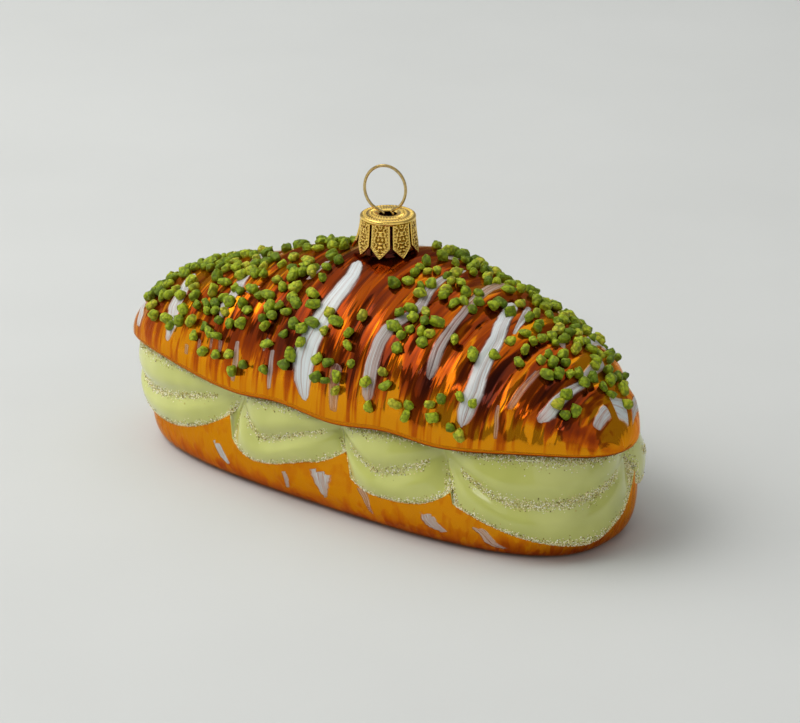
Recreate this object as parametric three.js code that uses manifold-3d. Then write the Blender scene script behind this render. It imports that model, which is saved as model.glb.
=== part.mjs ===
// A blown-glass tree ornament in the shape of a filled croissant: one glass body that is a croissant top, a
// band of piped cream shells and a base, with nut crumbs glued on top, a pressed-metal cap on its neck and a
// wire ring. Units are millimetres. +Z is up, X runs along the croissant and the origin is the middle of the
// flat base.
import * as THREE from "three";
import { mergeVertices } from "three/addons/utils/BufferGeometryUtils.js";
import Module from "manifold-3d";

// Croissant top: the plan outline of its rim, the rim's height, and the ridge that rises over it
const CRUST_HALF_LENGTH = 50;
const CRUST_HALF_WIDTH = 22.9;
const CRUST_SQUARENESS = 2.08;
const CRUST_SHIFT = -1;
const TIP_BEND = -2;
const RIM_HEIGHT = 18.1;
const RIM_WAVE = 0.9;
const RIM_DROP_AT_TIPS = 0.9;
const RIM_GROOVE_INSET = 2.3;
const RIM_LIP_INSET = 0.6;
const RIM_LIP_DROP = 0.5;
const RIDGE_RISE = 20.9;
const RIDGE_POWER = 0.5;
const RIDGE_ROUNDING = 0.15;
const RIDGE_SKEW = 0.1;

// Rolled segments of the croissant: where one ends and the next begins along X, and how far each one swells
const SEGMENT_EDGES = [-54, -46, -33.5, -24, -11, 14.5, 32, 43, 54];
const SEGMENT_SWELL = 0.5;
const SEGMENT_EDGE_POWER = 3;
const SWELL_NEEDS_RISE = 10;

// Base of the croissant, from its flat foot to its widest height
const FOOT_HALF_LENGTH = 43.5;
const FOOT_HALF_WIDTH = 15.8;
const BASE_HALF_LENGTH = 46.8;
const BASE_HALF_WIDTH = 20.6;
const BASE_SQUARENESS = 2.5;
const BASE_SHIFT = 1;
const BASE_SKEW = 0.04;
const BASE_WIDEST_HEIGHT = 8;
const BASE_ROUNDNESS = 2.6;

// Piped cream: four shells on each long side. Each begins at a share of the way from tip to tip, hangs lowest
// at a place within itself, and rises from there towards its round head and its thin tail.
const SHELLS = [
  { start: 0, foot: 6.2, lowest: 0.45, headRise: 3, headPower: 2.5, tailRise: 6.5, tailPower: 2.2 },
  { start: 0.355, foot: 6, lowest: 0.3, headRise: 2.5, headPower: 2.5, tailRise: 7, tailPower: 1.8 },
  { start: 0.535, foot: 6.6, lowest: 0.3, headRise: 2, headPower: 2.5, tailRise: 4, tailPower: 3 },
  { start: 0.715, foot: 2.5, lowest: 0.72, headRise: 6, headPower: 1.4, tailRise: 9.8, tailPower: 1.75 },
];
const SHELL_TIP_OFFSET = 0.015;
const TIP_CLOSENESS = 0.4;
const TIP_WRAP = 0.032;
const TIP_WRAP_POWER = 8;
const SHELL_BULGE = 2.2;
const JOINT_PINCH = 1.3;
const SHELL_HEAD = { reach: 0.35, power: 2.5, rounding: 0.6 };
const SHELL_TAIL = { reach: 0.55, power: 2.2 };

// Crease along each shell: its depth, its share of the way up the cream, and how it climbs at head and tail
const CREASE_DEPTH = 1.25;
const CREASE_HALF_WIDTH = 0.15;
const CREASE_SHARE = 0.4;
const CREASE_HEAD = { reach: 0.35, climb: 0.45, power: 1.5 };
const CREASE_TAIL = { reach: 0.6, climb: 0.35, power: 1.3 };

// Cream squeezed out further behind the right tip
const SQUEEZE = 1.3;
const SQUEEZE_TURN = 0.4;
const SQUEEZE_POWER = 30;

// Nut crumbs: the largest of the scatter, glued well clear of each other and of the cap
const CRUMB_SCATTER = 430;
const CRUMBS_MODELLED = 120;
const CRUMB_SIZE = [1.6, 2.2];
const CRUMB_SPREAD = 0.44;
const CRUMB_CLEARANCE = 0.7;
const CRUMB_CLEAR_OF_NECK = 7.8;
const CRUMB_REACH = [-45.5, 47.5];
const CRUMB_SEED = 20;
const CRUMB_RADIUS = 0.55;
const CRUMB_SHAPE = [1.1, 0.95, 0.85];
const CRUMB_HEIGHT = 0.26;

// Patches that crumbs lie in: place along X, degrees up from the front rim, half length, half spread in
// degrees, and fullness. The back has the same patches, half a turn round.
const CRUMB_PATCHES = [
  [-42, 62, 5, 15, 0.7],
  [-37, 47, 6, 11, 0.8],
  [-32, 68, 7, 15, 0.6],
  [-24, 42, 12, 14, 1],
  [-10, 41, 10, 13, 1],
  [-27, 90, 8, 12, 0.55],
  [-14, 99, 9, 11, 1],
  [-13, 57, 6, 6, 0.5],
  [2, 42, 9, 8, 0.8],
  [-5, 74, 4, 4, 0.4],
  [7, 77, 5, 8, 0.9],
  [18, 78, 4, 8, 0.85],
  [17, 50, 4, 13, 0.9],
  [12, 112, 10, 12, 0.8],
  [24, 56, 2.5, 6, 0.6],
  [28, 54, 2, 7, 0.8],
  [36, 76, 6, 14, 0.95],
  [28, 112, 12, 12, 0.8],
  [42, 56, 2.5, 12, 0.7],
  [40, 102, 5, 14, 0.9],
  [22, 22, 10, 15, 0.5],
  [6, 24, 6, 10, 0.4],
  [-12, 22, 12, 10, 0.35],
  [-31, 27, 6, 6, 0.6],
];

// Neck of the glass
const NECK_RADIUS = 3.4;
const NECK_TOP = 45.3;
const NECK_ROOT = 34;
const NECK_FLARE_START = 41.2;
const NECK_FLARE_LENGTH = 3.4;
const NECK_FLARE_RADIUS = 5.4;
const NECK_FLARE_POWER = 2.4;
const NECK_BORE_RADIUS = 2.7;
const NECK_BORE_DEPTH = 5;

// Pressed cap: a dished top with a hole, and a skirt of petals, one of them bent outwards
const CAP_TOP = 46.1;
const CAP_THICKNESS = 0.45;
const CAP_RIM_RADIUS = 4.6;
const CAP_RIM_HEIGHT = 0.9;
const CAP_RIM_BEVEL = 0.3;
const CAP_DISH_RADIUS = 3.5;
const CAP_DISH_DEPTH = 0.15;
const CAP_HOLE_RADIUS = 1.5;
const CAP_COLLAR_WIDTH = 0.5;
const CAP_WAIST = 0.1;
const PETAL_COUNT = 8;
const PETAL_KNEE_RADIUS = 4.8;
const PETAL_KNEE_HEIGHT = 42.6;
const PETAL_TIP_RADIUS = 5.1;
const PETAL_TIP_HEIGHT = 39.7;
const PETAL_POINT_LENGTH = 1.7;
const PETAL_SLOT_WIDTH = 0.5;
const PETAL_SLOT_TOP = 45.2;
const PETAL_TURN = THREE.MathUtils.degToRad(-45);
const BENT_PETAL = 5;
const BENT_PETAL_OUT = 1.1;

// Wire ring: its oval loop stands a little off the neck's axis and is turned from the croissant's length, and
// its legs pass the cap's hole and spring apart below
const WIRE_RADIUS = 0.25;
const RING_HALF_WIDTH = 3.5;
const RING_HALF_HEIGHT = 3.92;
const RING_CENTRE_HEIGHT = 50.18;
const RING_SHIFT = -0.5;
const RING_TURN = THREE.MathUtils.degToRad(21);
const RING_GAP = THREE.MathUtils.degToRad(20);
const RING_HOLE_SPREAD = 0.8;
const RING_HOLE_HEIGHT = 45.9;
const RING_LEG_SPREAD = 1.9;
const RING_LEG_FOOT = 41.6;
const RING_LEG_BEND = 0.6;
const RING_LEG_BEND_SPREAD = 1.1;

// Mesh fineness
const ROUND_STEPS = 104;
const BASE_STEPS = 4;
const BASE_STEP_POWER = 1.6;
const CREAM_HALF_STEPS = 4;
const ARC_STEPS = 20;
const NECK_SIDES = 24;
const NECK_FLARE_STEPS = 5;
const CAP_SIDES = 40;
const WIRE_QUARTER_SIDES = 4;
const WIRE_STEPS = 56;
const RING_LOOP_STEPS = 14;

const wasm = await Module();
wasm.setup();

const { lerp, clamp } = THREE.MathUtils;
const signedPower = (value, power) => Math.sign(value) * Math.abs(value) ** power;
const past = (value, power) => Math.max(0, value) ** power;

// A closed mesh of points and triangles as a three.js geometry
function geometryOf(points, triangles) {
  const geometry = new THREE.BufferGeometry();
  geometry.setAttribute("position", new THREE.Float32BufferAttribute(points.flatMap((p) => p.toArray()), 3));
  geometry.setIndex(triangles);
  return geometry;
}

// A closed geometry as a solid that can be joined and cut, and back
function solidOf(geometry) {
  const bare = geometry.clone();
  bare.deleteAttribute("normal");
  bare.deleteAttribute("uv");
  const merged = mergeVertices(bare, 1e-4);
  return new wasm.Manifold(
    new wasm.Mesh({
      numProp: 3,
      vertProperties: new Float32Array(merged.attributes.position.array),
      triVerts: new Uint32Array(merged.index.array),
    }),
  );
}

function geometryOfSolid(solid) {
  const mesh = solid.getMesh();
  const geometry = new THREE.BufferGeometry();
  geometry.setAttribute("position", new THREE.BufferAttribute(new Float32Array(mesh.vertProperties), 3));
  geometry.setIndex(new THREE.BufferAttribute(new Uint32Array(mesh.triVerts), 1));
  geometry.computeVertexNormals();
  return geometry;
}

// A point on a long rounded plan outline, shifted along X and bent a little to the front at its tips
function outlinePoint({ halfLength, halfWidth, squareness, shift = 0, skew = 0 }, turn, height) {
  const along = signedPower(Math.cos(turn), 2 / squareness);
  const across = signedPower(Math.sin(turn), 2 / squareness);
  const x = halfLength * along + shift * along ** 2;
  const y = halfWidth * across * (1 + skew * along) + TIP_BEND * along ** 2;
  return new THREE.Vector3(x, y, height);
}

// The cream shell at a turn round the outline, and the place within it from head to tail. Each long side has
// the same shells, half a turn apart. Arc length grows slower at the tips, which the sine allows for, and the
// last shell of the front wraps round the right tip.
function shellAt(turn) {
  const steady = (turn - (TIP_CLOSENESS / 2) * Math.sin(2 * turn)) / Math.PI - SHELL_TIP_OFFSET;
  const wrapped = steady - TIP_WRAP * past(Math.cos(turn), TIP_WRAP_POWER);
  const share = wrapped - Math.floor(wrapped);
  let k = SHELLS.length - 1;
  while (SHELLS[k].start > share) k -= 1;
  const end = k + 1 < SHELLS.length ? SHELLS[k + 1].start : 1;
  return { shell: SHELLS[k], within: (share - SHELLS[k].start) / (end - SHELLS[k].start) };
}

// Height at which the cream meets the base: low under each shell, with a peak of dough at each joint
function creamFoot(turn) {
  const { shell, within } = shellAt(turn);
  const head = shell.headRise * past(1 - within / shell.lowest, shell.headPower);
  const tail = shell.tailRise * past((within - shell.lowest) / (1 - shell.lowest), shell.tailPower);
  return shell.foot + head + tail;
}

// Each shell lifts the rim a little, and the rim drops at the croissant's tips
function rimHeight(turn) {
  const lifted = RIM_WAVE * Math.sin(Math.PI * shellAt(turn).within) ** 2;
  return RIM_HEIGHT + lifted - RIM_DROP_AT_TIPS * Math.cos(turn) ** 6;
}

// Base wall: rounded up from the foot to the widest height, then upright
function basePoint(turn, height) {
  const open = clamp(1 - height / BASE_WIDEST_HEIGHT, 0, 1) ** BASE_ROUNDNESS;
  const share = (1 - open) ** (1 / BASE_ROUNDNESS);
  const outline = {
    halfLength: lerp(FOOT_HALF_LENGTH, BASE_HALF_LENGTH, share),
    halfWidth: lerp(FOOT_HALF_WIDTH, BASE_HALF_WIDTH, share),
    squareness: BASE_SQUARENESS,
    shift: BASE_SHIFT * share,
    skew: BASE_SKEW,
  };
  return outlinePoint(outline, turn, height);
}

function rimPoint(turn, inset, height) {
  const outline = {
    halfLength: CRUST_HALF_LENGTH - inset,
    halfWidth: CRUST_HALF_WIDTH - inset,
    squareness: CRUST_SQUARENESS,
    shift: CRUST_SHIFT,
  };
  return outlinePoint(outline, turn, height);
}

function rimNormal(turn) {
  const step = 0.01;
  const ahead = rimPoint(turn + step, 0, 0);
  const behind = rimPoint(turn - step, 0, 0);
  return new THREE.Vector3(ahead.y - behind.y, behind.x - ahead.x, 0).normalize();
}

// Cream between the base and the rim, pushed out along the rim's normal. It is round at each shell's head,
// thins out along its tail and is pinched at the joints. A crease runs from high on the head along the belly
// and up the tail. level is -1 at the base, 0 in the crease and 1 under the rim.
function creamPoint(turn, level) {
  const foot = creamFoot(turn);
  const top = rimHeight(turn) - RIM_LIP_DROP;
  const { within } = shellAt(turn);
  const head = (1 - past(1 - within / SHELL_HEAD.reach, SHELL_HEAD.power)) ** SHELL_HEAD.rounding;
  const plump = head * (1 - past(1 - (1 - within) / SHELL_TAIL.reach, SHELL_TAIL.power));
  const headClimb = CREASE_HEAD.climb * past(1 - within / CREASE_HEAD.reach, CREASE_HEAD.power);
  const tailClimb = CREASE_TAIL.climb * past(1 - (1 - within) / CREASE_TAIL.reach, CREASE_TAIL.power);
  const creaseShare = CREASE_SHARE + headClimb + tailClimb;
  const share = level < 0 ? creaseShare * (1 + level) : lerp(creaseShare, 1, level);
  const crease = CREASE_DEPTH * plump * Math.exp(-(((share - creaseShare) / CREASE_HALF_WIDTH) ** 2));
  const squeezed = past(Math.cos(turn - SQUEEZE_TURN), SQUEEZE_POWER);
  const bulge = lerp(-JOINT_PINCH, SHELL_BULGE, plump) - crease * (1 - squeezed) + SQUEEZE * share * squeezed;
  const push = bulge * (4 * share * (1 - share)) ** 0.5;
  const inner = basePoint(turn, foot).lerp(rimPoint(turn, RIM_GROOVE_INSET, top), share);
  return inner.addScaledVector(rimNormal(turn), push);
}

// How far a segment of the croissant swells at a place along X: most in its middle, least at its edges
function segmentSwell(x) {
  let k = 0;
  while (k < SEGMENT_EDGES.length - 2 && x >= SEGMENT_EDGES[k + 1]) k += 1;
  const within = (x - SEGMENT_EDGES[k]) / (SEGMENT_EDGES[k + 1] - SEGMENT_EDGES[k]);
  return SEGMENT_SWELL * (0.5 - Math.abs(2 * within - 1) ** SEGMENT_EDGE_POWER);
}

// Croissant top: an arch over the rim at each place along X. turn is that of the arch's back end; lift is 0
// at the front rim, 90 degrees on the ridge and 180 degrees at the back rim.
function crustPoint(turn, lift) {
  const back = rimPoint(turn, 0, rimHeight(turn));
  const front = rimPoint(-turn, 0, rimHeight(-turn));
  const along = signedPower(Math.cos(turn), 2 / CRUST_SQUARENESS);
  const roundedOff = (share) => Math.hypot(share, RIDGE_ROUNDING) - RIDGE_ROUNDING;
  const fall = roundedOff(along) / roundedOff(1);
  const rise = RIDGE_RISE * past(1 - fall, RIDGE_POWER) * (1 + RIDGE_SKEW * along);
  const swell = segmentSwell(back.x) * Math.sin(lift) * Math.min(1, rise / SWELL_NEEDS_RISE);
  const point = front.clone().lerp(back, (1 - Math.cos(lift)) / 2);
  point.y -= swell * Math.cos(lift);
  point.z += (rise + swell) * Math.sin(lift);
  return point;
}

function crustNormal(turn, lift) {
  const step = 0.02;
  const along = crustPoint(turn + step, lift).sub(crustPoint(turn - step, lift));
  const over = crustPoint(turn, lift + step).sub(crustPoint(turn, lift - step));
  return over.cross(along).normalize();
}

// The glass body without its neck: rings round the foot, base, cream and rim, then arches over the top
function glassBody() {
  const points = [];
  const triangles = [];
  const half = ROUND_STEPS / 2;
  const ring = (pointAt) => {
    const first = points.length;
    for (let i = 0; i < ROUND_STEPS; i += 1) points.push(pointAt((2 * Math.PI * i) / ROUND_STEPS));
    return first;
  };
  const rings = [];
  for (let k = 0; k <= BASE_STEPS; k += 1) {
    const share = (k / BASE_STEPS) ** BASE_STEP_POWER;
    rings.push(ring((turn) => basePoint(turn, share * creamFoot(turn))));
  }
  for (let k = 1 - CREAM_HALF_STEPS; k <= CREAM_HALF_STEPS; k += 1) {
    rings.push(ring((turn) => creamPoint(turn, k / CREAM_HALF_STEPS)));
  }
  rings.push(ring((turn) => rimPoint(turn, RIM_LIP_INSET, rimHeight(turn) - RIM_LIP_DROP)));
  const rim = ring((turn) => rimPoint(turn, 0, rimHeight(turn)));
  rings.push(rim);
  for (let k = 0; k + 1 < rings.length; k += 1) {
    for (let i = 0; i < ROUND_STEPS; i += 1) {
      const j = (i + 1) % ROUND_STEPS;
      triangles.push(rings[k] + i, rings[k] + j, rings[k + 1] + j);
      triangles.push(rings[k] + i, rings[k + 1] + j, rings[k + 1] + i);
    }
  }

  // Flat foot, in strips across from its back edge to its front one
  const back = (i) => rings[0] + i;
  const front = (i) => rings[0] + ((ROUND_STEPS - i) % ROUND_STEPS);
  for (let i = 0; i < half; i += 1) {
    if (i > 0) triangles.push(back(i), front(i), front(i + 1));
    if (i + 1 < half) triangles.push(back(i), front(i + 1), back(i + 1));
  }

  // Arches from the front rim to the back rim, which close in a fan at each tip
  const arch = (i) => {
    if (i === 0 || i === half) return Array(ARC_STEPS + 1).fill(rim + i);
    const places = [rim + ROUND_STEPS - i];
    for (let k = 1; k < ARC_STEPS; k += 1) {
      places.push(points.length);
      points.push(crustPoint((2 * Math.PI * i) / ROUND_STEPS, (Math.PI * k) / ARC_STEPS));
    }
    return [...places, rim + i];
  };
  const arches = Array.from({ length: half + 1 }, (_, i) => arch(i));
  for (let i = 0; i < half; i += 1) {
    for (let k = 0; k < ARC_STEPS; k += 1) {
      const [a, b, c, d] = [arches[i][k], arches[i][k + 1], arches[i + 1][k + 1], arches[i + 1][k]];
      if (a !== b) triangles.push(a, b, c);
      if (c !== d) triangles.push(a, c, d);
    }
  }
  return geometryOf(points, triangles);
}

// A profile of [radius, height] pairs turned round the neck's upright axis
function turned(profile, sides) {
  const lathe = new THREE.LatheGeometry(profile.map(([r, z]) => new THREE.Vector2(r, z)), sides);
  return lathe.rotateX(Math.PI / 2);
}

// Glass neck that flares out of the croissant's back
function neck() {
  const flare = Array.from({ length: NECK_FLARE_STEPS + 1 }, (_, k) => {
    const share = k / NECK_FLARE_STEPS;
    const out = (1 - share) ** NECK_FLARE_POWER * (NECK_FLARE_RADIUS - NECK_RADIUS);
    return [NECK_RADIUS + out, NECK_FLARE_START - (1 - share) * NECK_FLARE_LENGTH];
  });
  const root = [[0, NECK_ROOT], [NECK_FLARE_RADIUS, NECK_ROOT]];
  const mouth = [[NECK_RADIUS, NECK_TOP], [0, NECK_TOP]];
  return turned([...root, ...flare, ...mouth], NECK_SIDES);
}

// Open bore of the neck, which the wire's legs spring into
function neckBore() {
  const foot = NECK_TOP - NECK_BORE_DEPTH;
  const above = NECK_TOP + 1;
  return turned([[0, foot], [NECK_BORE_RADIUS, foot], [NECK_BORE_RADIUS, above], [0, above]], NECK_SIDES);
}

// Numbers from 0 to 1 that look random and come out the same each time
function seeded(seed) {
  let state = seed;
  return () => {
    state = (state * 16807) % 2147483647;
    return state / 2147483647;
  };
}

// Chance of a crumb: that of the fullest patch here, where each patch fades fast beyond its edge
function crumbChance(x, lift) {
  const degrees = THREE.MathUtils.radToDeg(lift);
  const chances = CRUMB_PATCHES.map(([at, level, length, spread, full]) => {
    const front = ((x - at) / length) ** 2 + ((degrees - level) / spread) ** 2;
    const back = ((x + at) / length) ** 2 + ((180 - degrees - level) / spread) ** 2;
    return full * Math.exp(-(Math.min(front, back) ** 2));
  });
  return Math.max(...chances);
}

// Places for the crumbs, largest first
function crumbPlaces() {
  const draw = seeded(CRUMB_SEED);
  const places = [];
  while (places.length < CRUMB_SCATTER) {
    const turn = Math.PI * draw();
    const lift = Math.PI * draw();
    const chance = draw();
    const size = lerp(CRUMB_SIZE[0], CRUMB_SIZE[1], draw());
    const spin = 2 * Math.PI * draw();
    const at = crustPoint(turn, lift);
    if (chance > crumbChance(at.x, lift) * Math.sin(turn)) continue;
    if (Math.hypot(at.x, at.y) < CRUMB_CLEAR_OF_NECK) continue;
    if (at.x < CRUMB_REACH[0] || at.x > CRUMB_REACH[1]) continue;
    if (places.some((place) => place.at.distanceTo(at) < CRUMB_SPREAD * (place.size + size))) continue;
    places.push({ at, size, spin, normal: crustNormal(turn, lift) });
  }
  return places.sort((a, b) => b.size - a.size);
}

function modelledCrumbs() {
  const chosen = [];
  for (const place of crumbPlaces()) {
    if (chosen.length === CRUMBS_MODELLED) break;
    const clear = (other) => other.at.distanceTo(place.at) > CRUMB_CLEARANCE * (other.size + place.size);
    if (chosen.every(clear)) chosen.push(place);
  }
  return chosen;
}

// One crumb: a squat faceted pebble sunk a little into the glaze
function crumb({ at, size, spin, normal }) {
  const pebble = new THREE.IcosahedronGeometry(CRUMB_RADIUS * size, 0);
  pebble.rotateX(spin).scale(...CRUMB_SHAPE).rotateZ(2 * spin);
  pebble.applyQuaternion(new THREE.Quaternion().setFromUnitVectors(new THREE.Vector3(0, 0, 1), normal));
  const centre = at.clone().addScaledVector(normal, CRUMB_HEIGHT * size);
  return pebble.translate(centre.x, centre.y, centre.z);
}

// Profile of the cap as [radius, height] pairs: up the skirt's outside, over the top into the hole, and down
// the inside
function capProfile() {
  const skirtTop = CAP_TOP - CAP_RIM_HEIGHT;
  const inside = CAP_RIM_RADIUS - CAP_THICKNESS;
  const under = CAP_TOP - CAP_THICKNESS;
  const foot = [PETAL_TIP_RADIUS - CAP_THICKNESS, PETAL_TIP_HEIGHT];
  return [
    foot,
    [PETAL_TIP_RADIUS, PETAL_TIP_HEIGHT],
    [PETAL_KNEE_RADIUS, PETAL_KNEE_HEIGHT],
    [CAP_RIM_RADIUS - CAP_WAIST, skirtTop],
    [CAP_RIM_RADIUS, skirtTop + CAP_RIM_BEVEL],
    [CAP_RIM_RADIUS, CAP_TOP - CAP_RIM_BEVEL],
    [CAP_RIM_RADIUS - CAP_RIM_BEVEL, CAP_TOP],
    [CAP_DISH_RADIUS, CAP_TOP - CAP_DISH_DEPTH],
    [CAP_HOLE_RADIUS + CAP_COLLAR_WIDTH, CAP_TOP],
    [CAP_HOLE_RADIUS, CAP_TOP - CAP_DISH_DEPTH],
    [CAP_HOLE_RADIUS, under],
    [inside - CAP_RIM_BEVEL, under],
    [inside - CAP_WAIST, skirtTop],
    [PETAL_KNEE_RADIUS - CAP_THICKNESS, PETAL_KNEE_HEIGHT],
    foot,
  ];
}

// Gap between two petals: a narrow slot that opens out to the petals' points
function petalSlot() {
  const halfPitch = PETAL_TIP_RADIUS * Math.tan(Math.PI / PETAL_COUNT);
  const halfSlot = PETAL_SLOT_WIDTH / 2;
  const shoulder = PETAL_TIP_HEIGHT + PETAL_POINT_LENGTH;
  const below = PETAL_TIP_HEIGHT - 0.1;
  const half = [[halfSlot, PETAL_SLOT_TOP], [halfSlot, shoulder], [halfPitch, below]];
  const mirrored = half.map(([x, z]) => [-x, z]).reverse();
  const slot = new THREE.Shape([...half, ...mirrored].map(([x, z]) => new THREE.Vector2(x, z)));
  const cutter = new THREE.ExtrudeGeometry(slot, { depth: 2 * PETAL_TIP_RADIUS, bevelEnabled: false });
  return cutter.rotateX(Math.PI / 2);
}

// Pressed cap on the neck. The bent petal swings out by the square of the way down from its slot's top.
function cap() {
  const pitch = (2 * Math.PI) / PETAL_COUNT;
  let petals = solidOf(turned(capProfile(), CAP_SIDES));
  for (let k = 0; k < PETAL_COUNT; k += 1) {
    petals = petals.subtract(solidOf(petalSlot().rotateZ(PETAL_TURN + k * pitch + Math.PI / 2)));
  }
  const bentMiddle = PETAL_TURN + (BENT_PETAL + 0.5) * pitch;
  const bent = petals.warp((point) => {
    const down = (PETAL_SLOT_TOP - point[2]) / (PETAL_SLOT_TOP - PETAL_TIP_HEIGHT);
    const radius = Math.hypot(point[0], point[1]);
    const facing = (point[0] * Math.cos(bentMiddle) + point[1] * Math.sin(bentMiddle)) / radius;
    if (down <= 0 || facing < Math.cos(pitch / 2)) return;
    const grow = 1 + (BENT_PETAL_OUT * down ** 2) / radius;
    point[0] *= grow;
    point[1] *= grow;
  });
  return geometryOfSolid(bent);
}

// Wire ring: an oval loop whose two legs dive into the cap's hole and spring apart in the neck
function wireRing() {
  const loop = Array.from({ length: RING_LOOP_STEPS + 1 }, (_, k) => {
    const turn = lerp(RING_GAP, 2 * Math.PI - RING_GAP, k / RING_LOOP_STEPS) - Math.PI / 2;
    const x = RING_SHIFT + RING_HALF_WIDTH * Math.cos(turn);
    return new THREE.Vector3(x, 0, RING_CENTRE_HEIGHT + RING_HALF_HEIGHT * Math.sin(turn));
  });
  const leg = (side) => [
    new THREE.Vector3(side * RING_LEG_SPREAD, 0, RING_LEG_FOOT),
    new THREE.Vector3(side * RING_LEG_BEND_SPREAD, 0, lerp(RING_LEG_FOOT, NECK_TOP, RING_LEG_BEND)),
    new THREE.Vector3(side * RING_HOLE_SPREAD, 0, RING_HOLE_HEIGHT),
  ];
  const path = new THREE.CatmullRomCurve3([...leg(1), ...loop, ...leg(-1).reverse()]);
  const wire = new THREE.ExtrudeGeometry(new THREE.Shape().absarc(0, 0, WIRE_RADIUS, 0, 2 * Math.PI), {
    steps: WIRE_STEPS,
    curveSegments: WIRE_QUARTER_SIDES,
    bevelEnabled: false,
    extrudePath: path,
  });
  return wire.rotateZ(RING_TURN);
}

const lacquer = new THREE.MeshStandardMaterial({ color: 0xb5651d, roughness: 0.15, metalness: 0.4 });
const gold = new THREE.MeshStandardMaterial({ color: 0xc9973a, roughness: 0.35, metalness: 1 });
const brightGold = new THREE.MeshStandardMaterial({ color: 0xd8bf72, roughness: 0.25, metalness: 1 });

const croissant = solidOf(glassBody()).add(solidOf(neck())).subtract(solidOf(neckBore()));
const crumbs = modelledCrumbs().map((place) => solidOf(crumb(place)));
const pieces = [
  ["glass_body", geometryOfSolid(wasm.Manifold.union([croissant, ...crumbs])), lacquer],
  ["hanger_cap", cap(), gold],
  ["hanger_ring", wireRing(), brightGold],
];

const ornament = new THREE.Group();
for (const [name, geometry, material] of pieces) {
  const mesh = new THREE.Mesh(geometry, material);
  mesh.name = name;
  ornament.add(mesh);
}

export default ornament;
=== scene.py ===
import bpy
import numpy as np
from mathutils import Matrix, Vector


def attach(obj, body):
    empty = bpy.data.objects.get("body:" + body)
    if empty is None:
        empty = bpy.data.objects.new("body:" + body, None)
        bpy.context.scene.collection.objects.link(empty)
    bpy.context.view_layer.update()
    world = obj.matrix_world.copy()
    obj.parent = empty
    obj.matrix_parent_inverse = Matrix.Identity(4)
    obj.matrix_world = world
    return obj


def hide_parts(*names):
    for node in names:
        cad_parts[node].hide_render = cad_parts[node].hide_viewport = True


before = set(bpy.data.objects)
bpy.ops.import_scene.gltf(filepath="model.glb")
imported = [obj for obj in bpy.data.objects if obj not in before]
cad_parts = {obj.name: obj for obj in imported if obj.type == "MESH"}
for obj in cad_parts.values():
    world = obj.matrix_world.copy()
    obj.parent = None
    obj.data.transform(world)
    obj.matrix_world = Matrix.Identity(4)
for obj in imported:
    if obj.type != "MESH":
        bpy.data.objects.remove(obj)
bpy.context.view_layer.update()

# Glass body: a thin bubble of glass blown into a mould that is shaped like a split and filled croissant.
# Base, cream shells, crust and neck are one skin of glass, silvered inside, so they are one closed mesh
# here. Lengths are in millimetres until a mesh is made.
MM = 0.001
CRUST_HALF_LENGTH, CRUST_HALF_WIDTH, CRUST_SQUARENESS = 50, 22.9, 2.08
CRUST_SHIFT, TIP_BEND = -1, -2
RIM_HEIGHT, RIM_WAVE, RIM_DROP_AT_TIPS, RIM_DROP_POWER = 18.1, 0.9, 0.9, 6
RIM_GROOVE_INSET, RIM_LIP_INSET, RIM_LIP_DROP = 2.3, 0.6, 0.5
RIDGE_RISE, RIDGE_POWER, RIDGE_ROUNDING, RIDGE_SKEW = 20.9, 0.5, 0.15, 0.1
SEGMENT_EDGES = np.array([-54, -46, -33.5, -24, -11, 14.5, 32, 43, 54])
SEGMENT_SWELL, SWELL_FADE_RISE = 0.5, 10
FOLD_WAVES = ((8.3, 0.6, 0.4), (5.1, 0.4, 2.1), (3.1, 0.2, 4.0))  # length, depth and phase
FOLD_WANDER_OVER, FOLD_WANDER_ALONG = (0.9, 2.3), (0.5, 0.11)  # size and pace
FOLD_SHARPNESS, FOLD_LEVEL, FOLD_RIM_FADE, FOLD_RIM_POWER = 0.8, 0.6, 0.45, 1.5
FOLD_NECK_LENGTH, FOLD_NECK_SPREAD, FOLD_LEFT_SHARE, FOLD_LEFT_X, FOLD_GROWTH = 8, 0.4, 0.55, -40, 70
FOOT_HALF_LENGTH, FOOT_HALF_WIDTH = 43.5, 15.8
BASE_HALF_LENGTH, BASE_HALF_WIDTH, BASE_SQUARENESS = 46.8, 20.6, 2.5
BASE_SHIFT, BASE_SKEW, BASE_WIDEST_HEIGHT, BASE_ROUNDNESS = 1, 0.04, 8, 2.6
SHELL_COLUMNS = ("start", "foot", "lowest", "head_rise", "head_power", "tail_rise", "tail_power")
SHELLS = np.array([
    (0, 6.2, 0.45, 3, 2.5, 6.5, 2.2),
    (0.355, 6, 0.3, 2.5, 2.5, 7, 1.8),
    (0.535, 6.6, 0.3, 2, 2.5, 4, 3),
    (0.715, 2.5, 0.72, 6, 1.4, 9.8, 1.75),
])
SHELL_TIP_OFFSET, TIP_CLOSENESS, TIP_WRAP, TIP_WRAP_POWER = 0.015, 0.4, 0.032, 8
SQUEEZE, SQUEEZE_TURN, SQUEEZE_POWER = 1.3, 0.4, 30
SHELL_BULGE, JOINT_PINCH, HEAD_REACH, HEAD_POWER, HEAD_ROUNDING = 2.2, 1.3, 0.35, 2.5, 0.6
TAIL_REACH, TAIL_POWER = 0.55, 2.2
CREASE_DEPTH, CREASE_HALF_WIDTH, CREASE_SHARE = 1.25, 0.15, 0.4
CREASE_HEAD, CREASE_TAIL = (0.35, 0.45, 1.5), (0.6, 0.35, 1.3)  # reach, climb and power
NECK_RADIUS, NECK_TOP, NECK_ROOT, NECK_FLARE_START, NECK_FLARE_RADIUS = 3.4, 45.3, 34, 41.2, 5.4
NECK_BORE_RADIUS, NECK_BORE_DEPTH = 2.7, 5
NECK_FLARE_STEPS, NECK_FLARE_POWER, NECK_FLARE_LENGTH, NECK_CHAMFER = 12, 2.4, 3.4, 0.2
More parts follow.
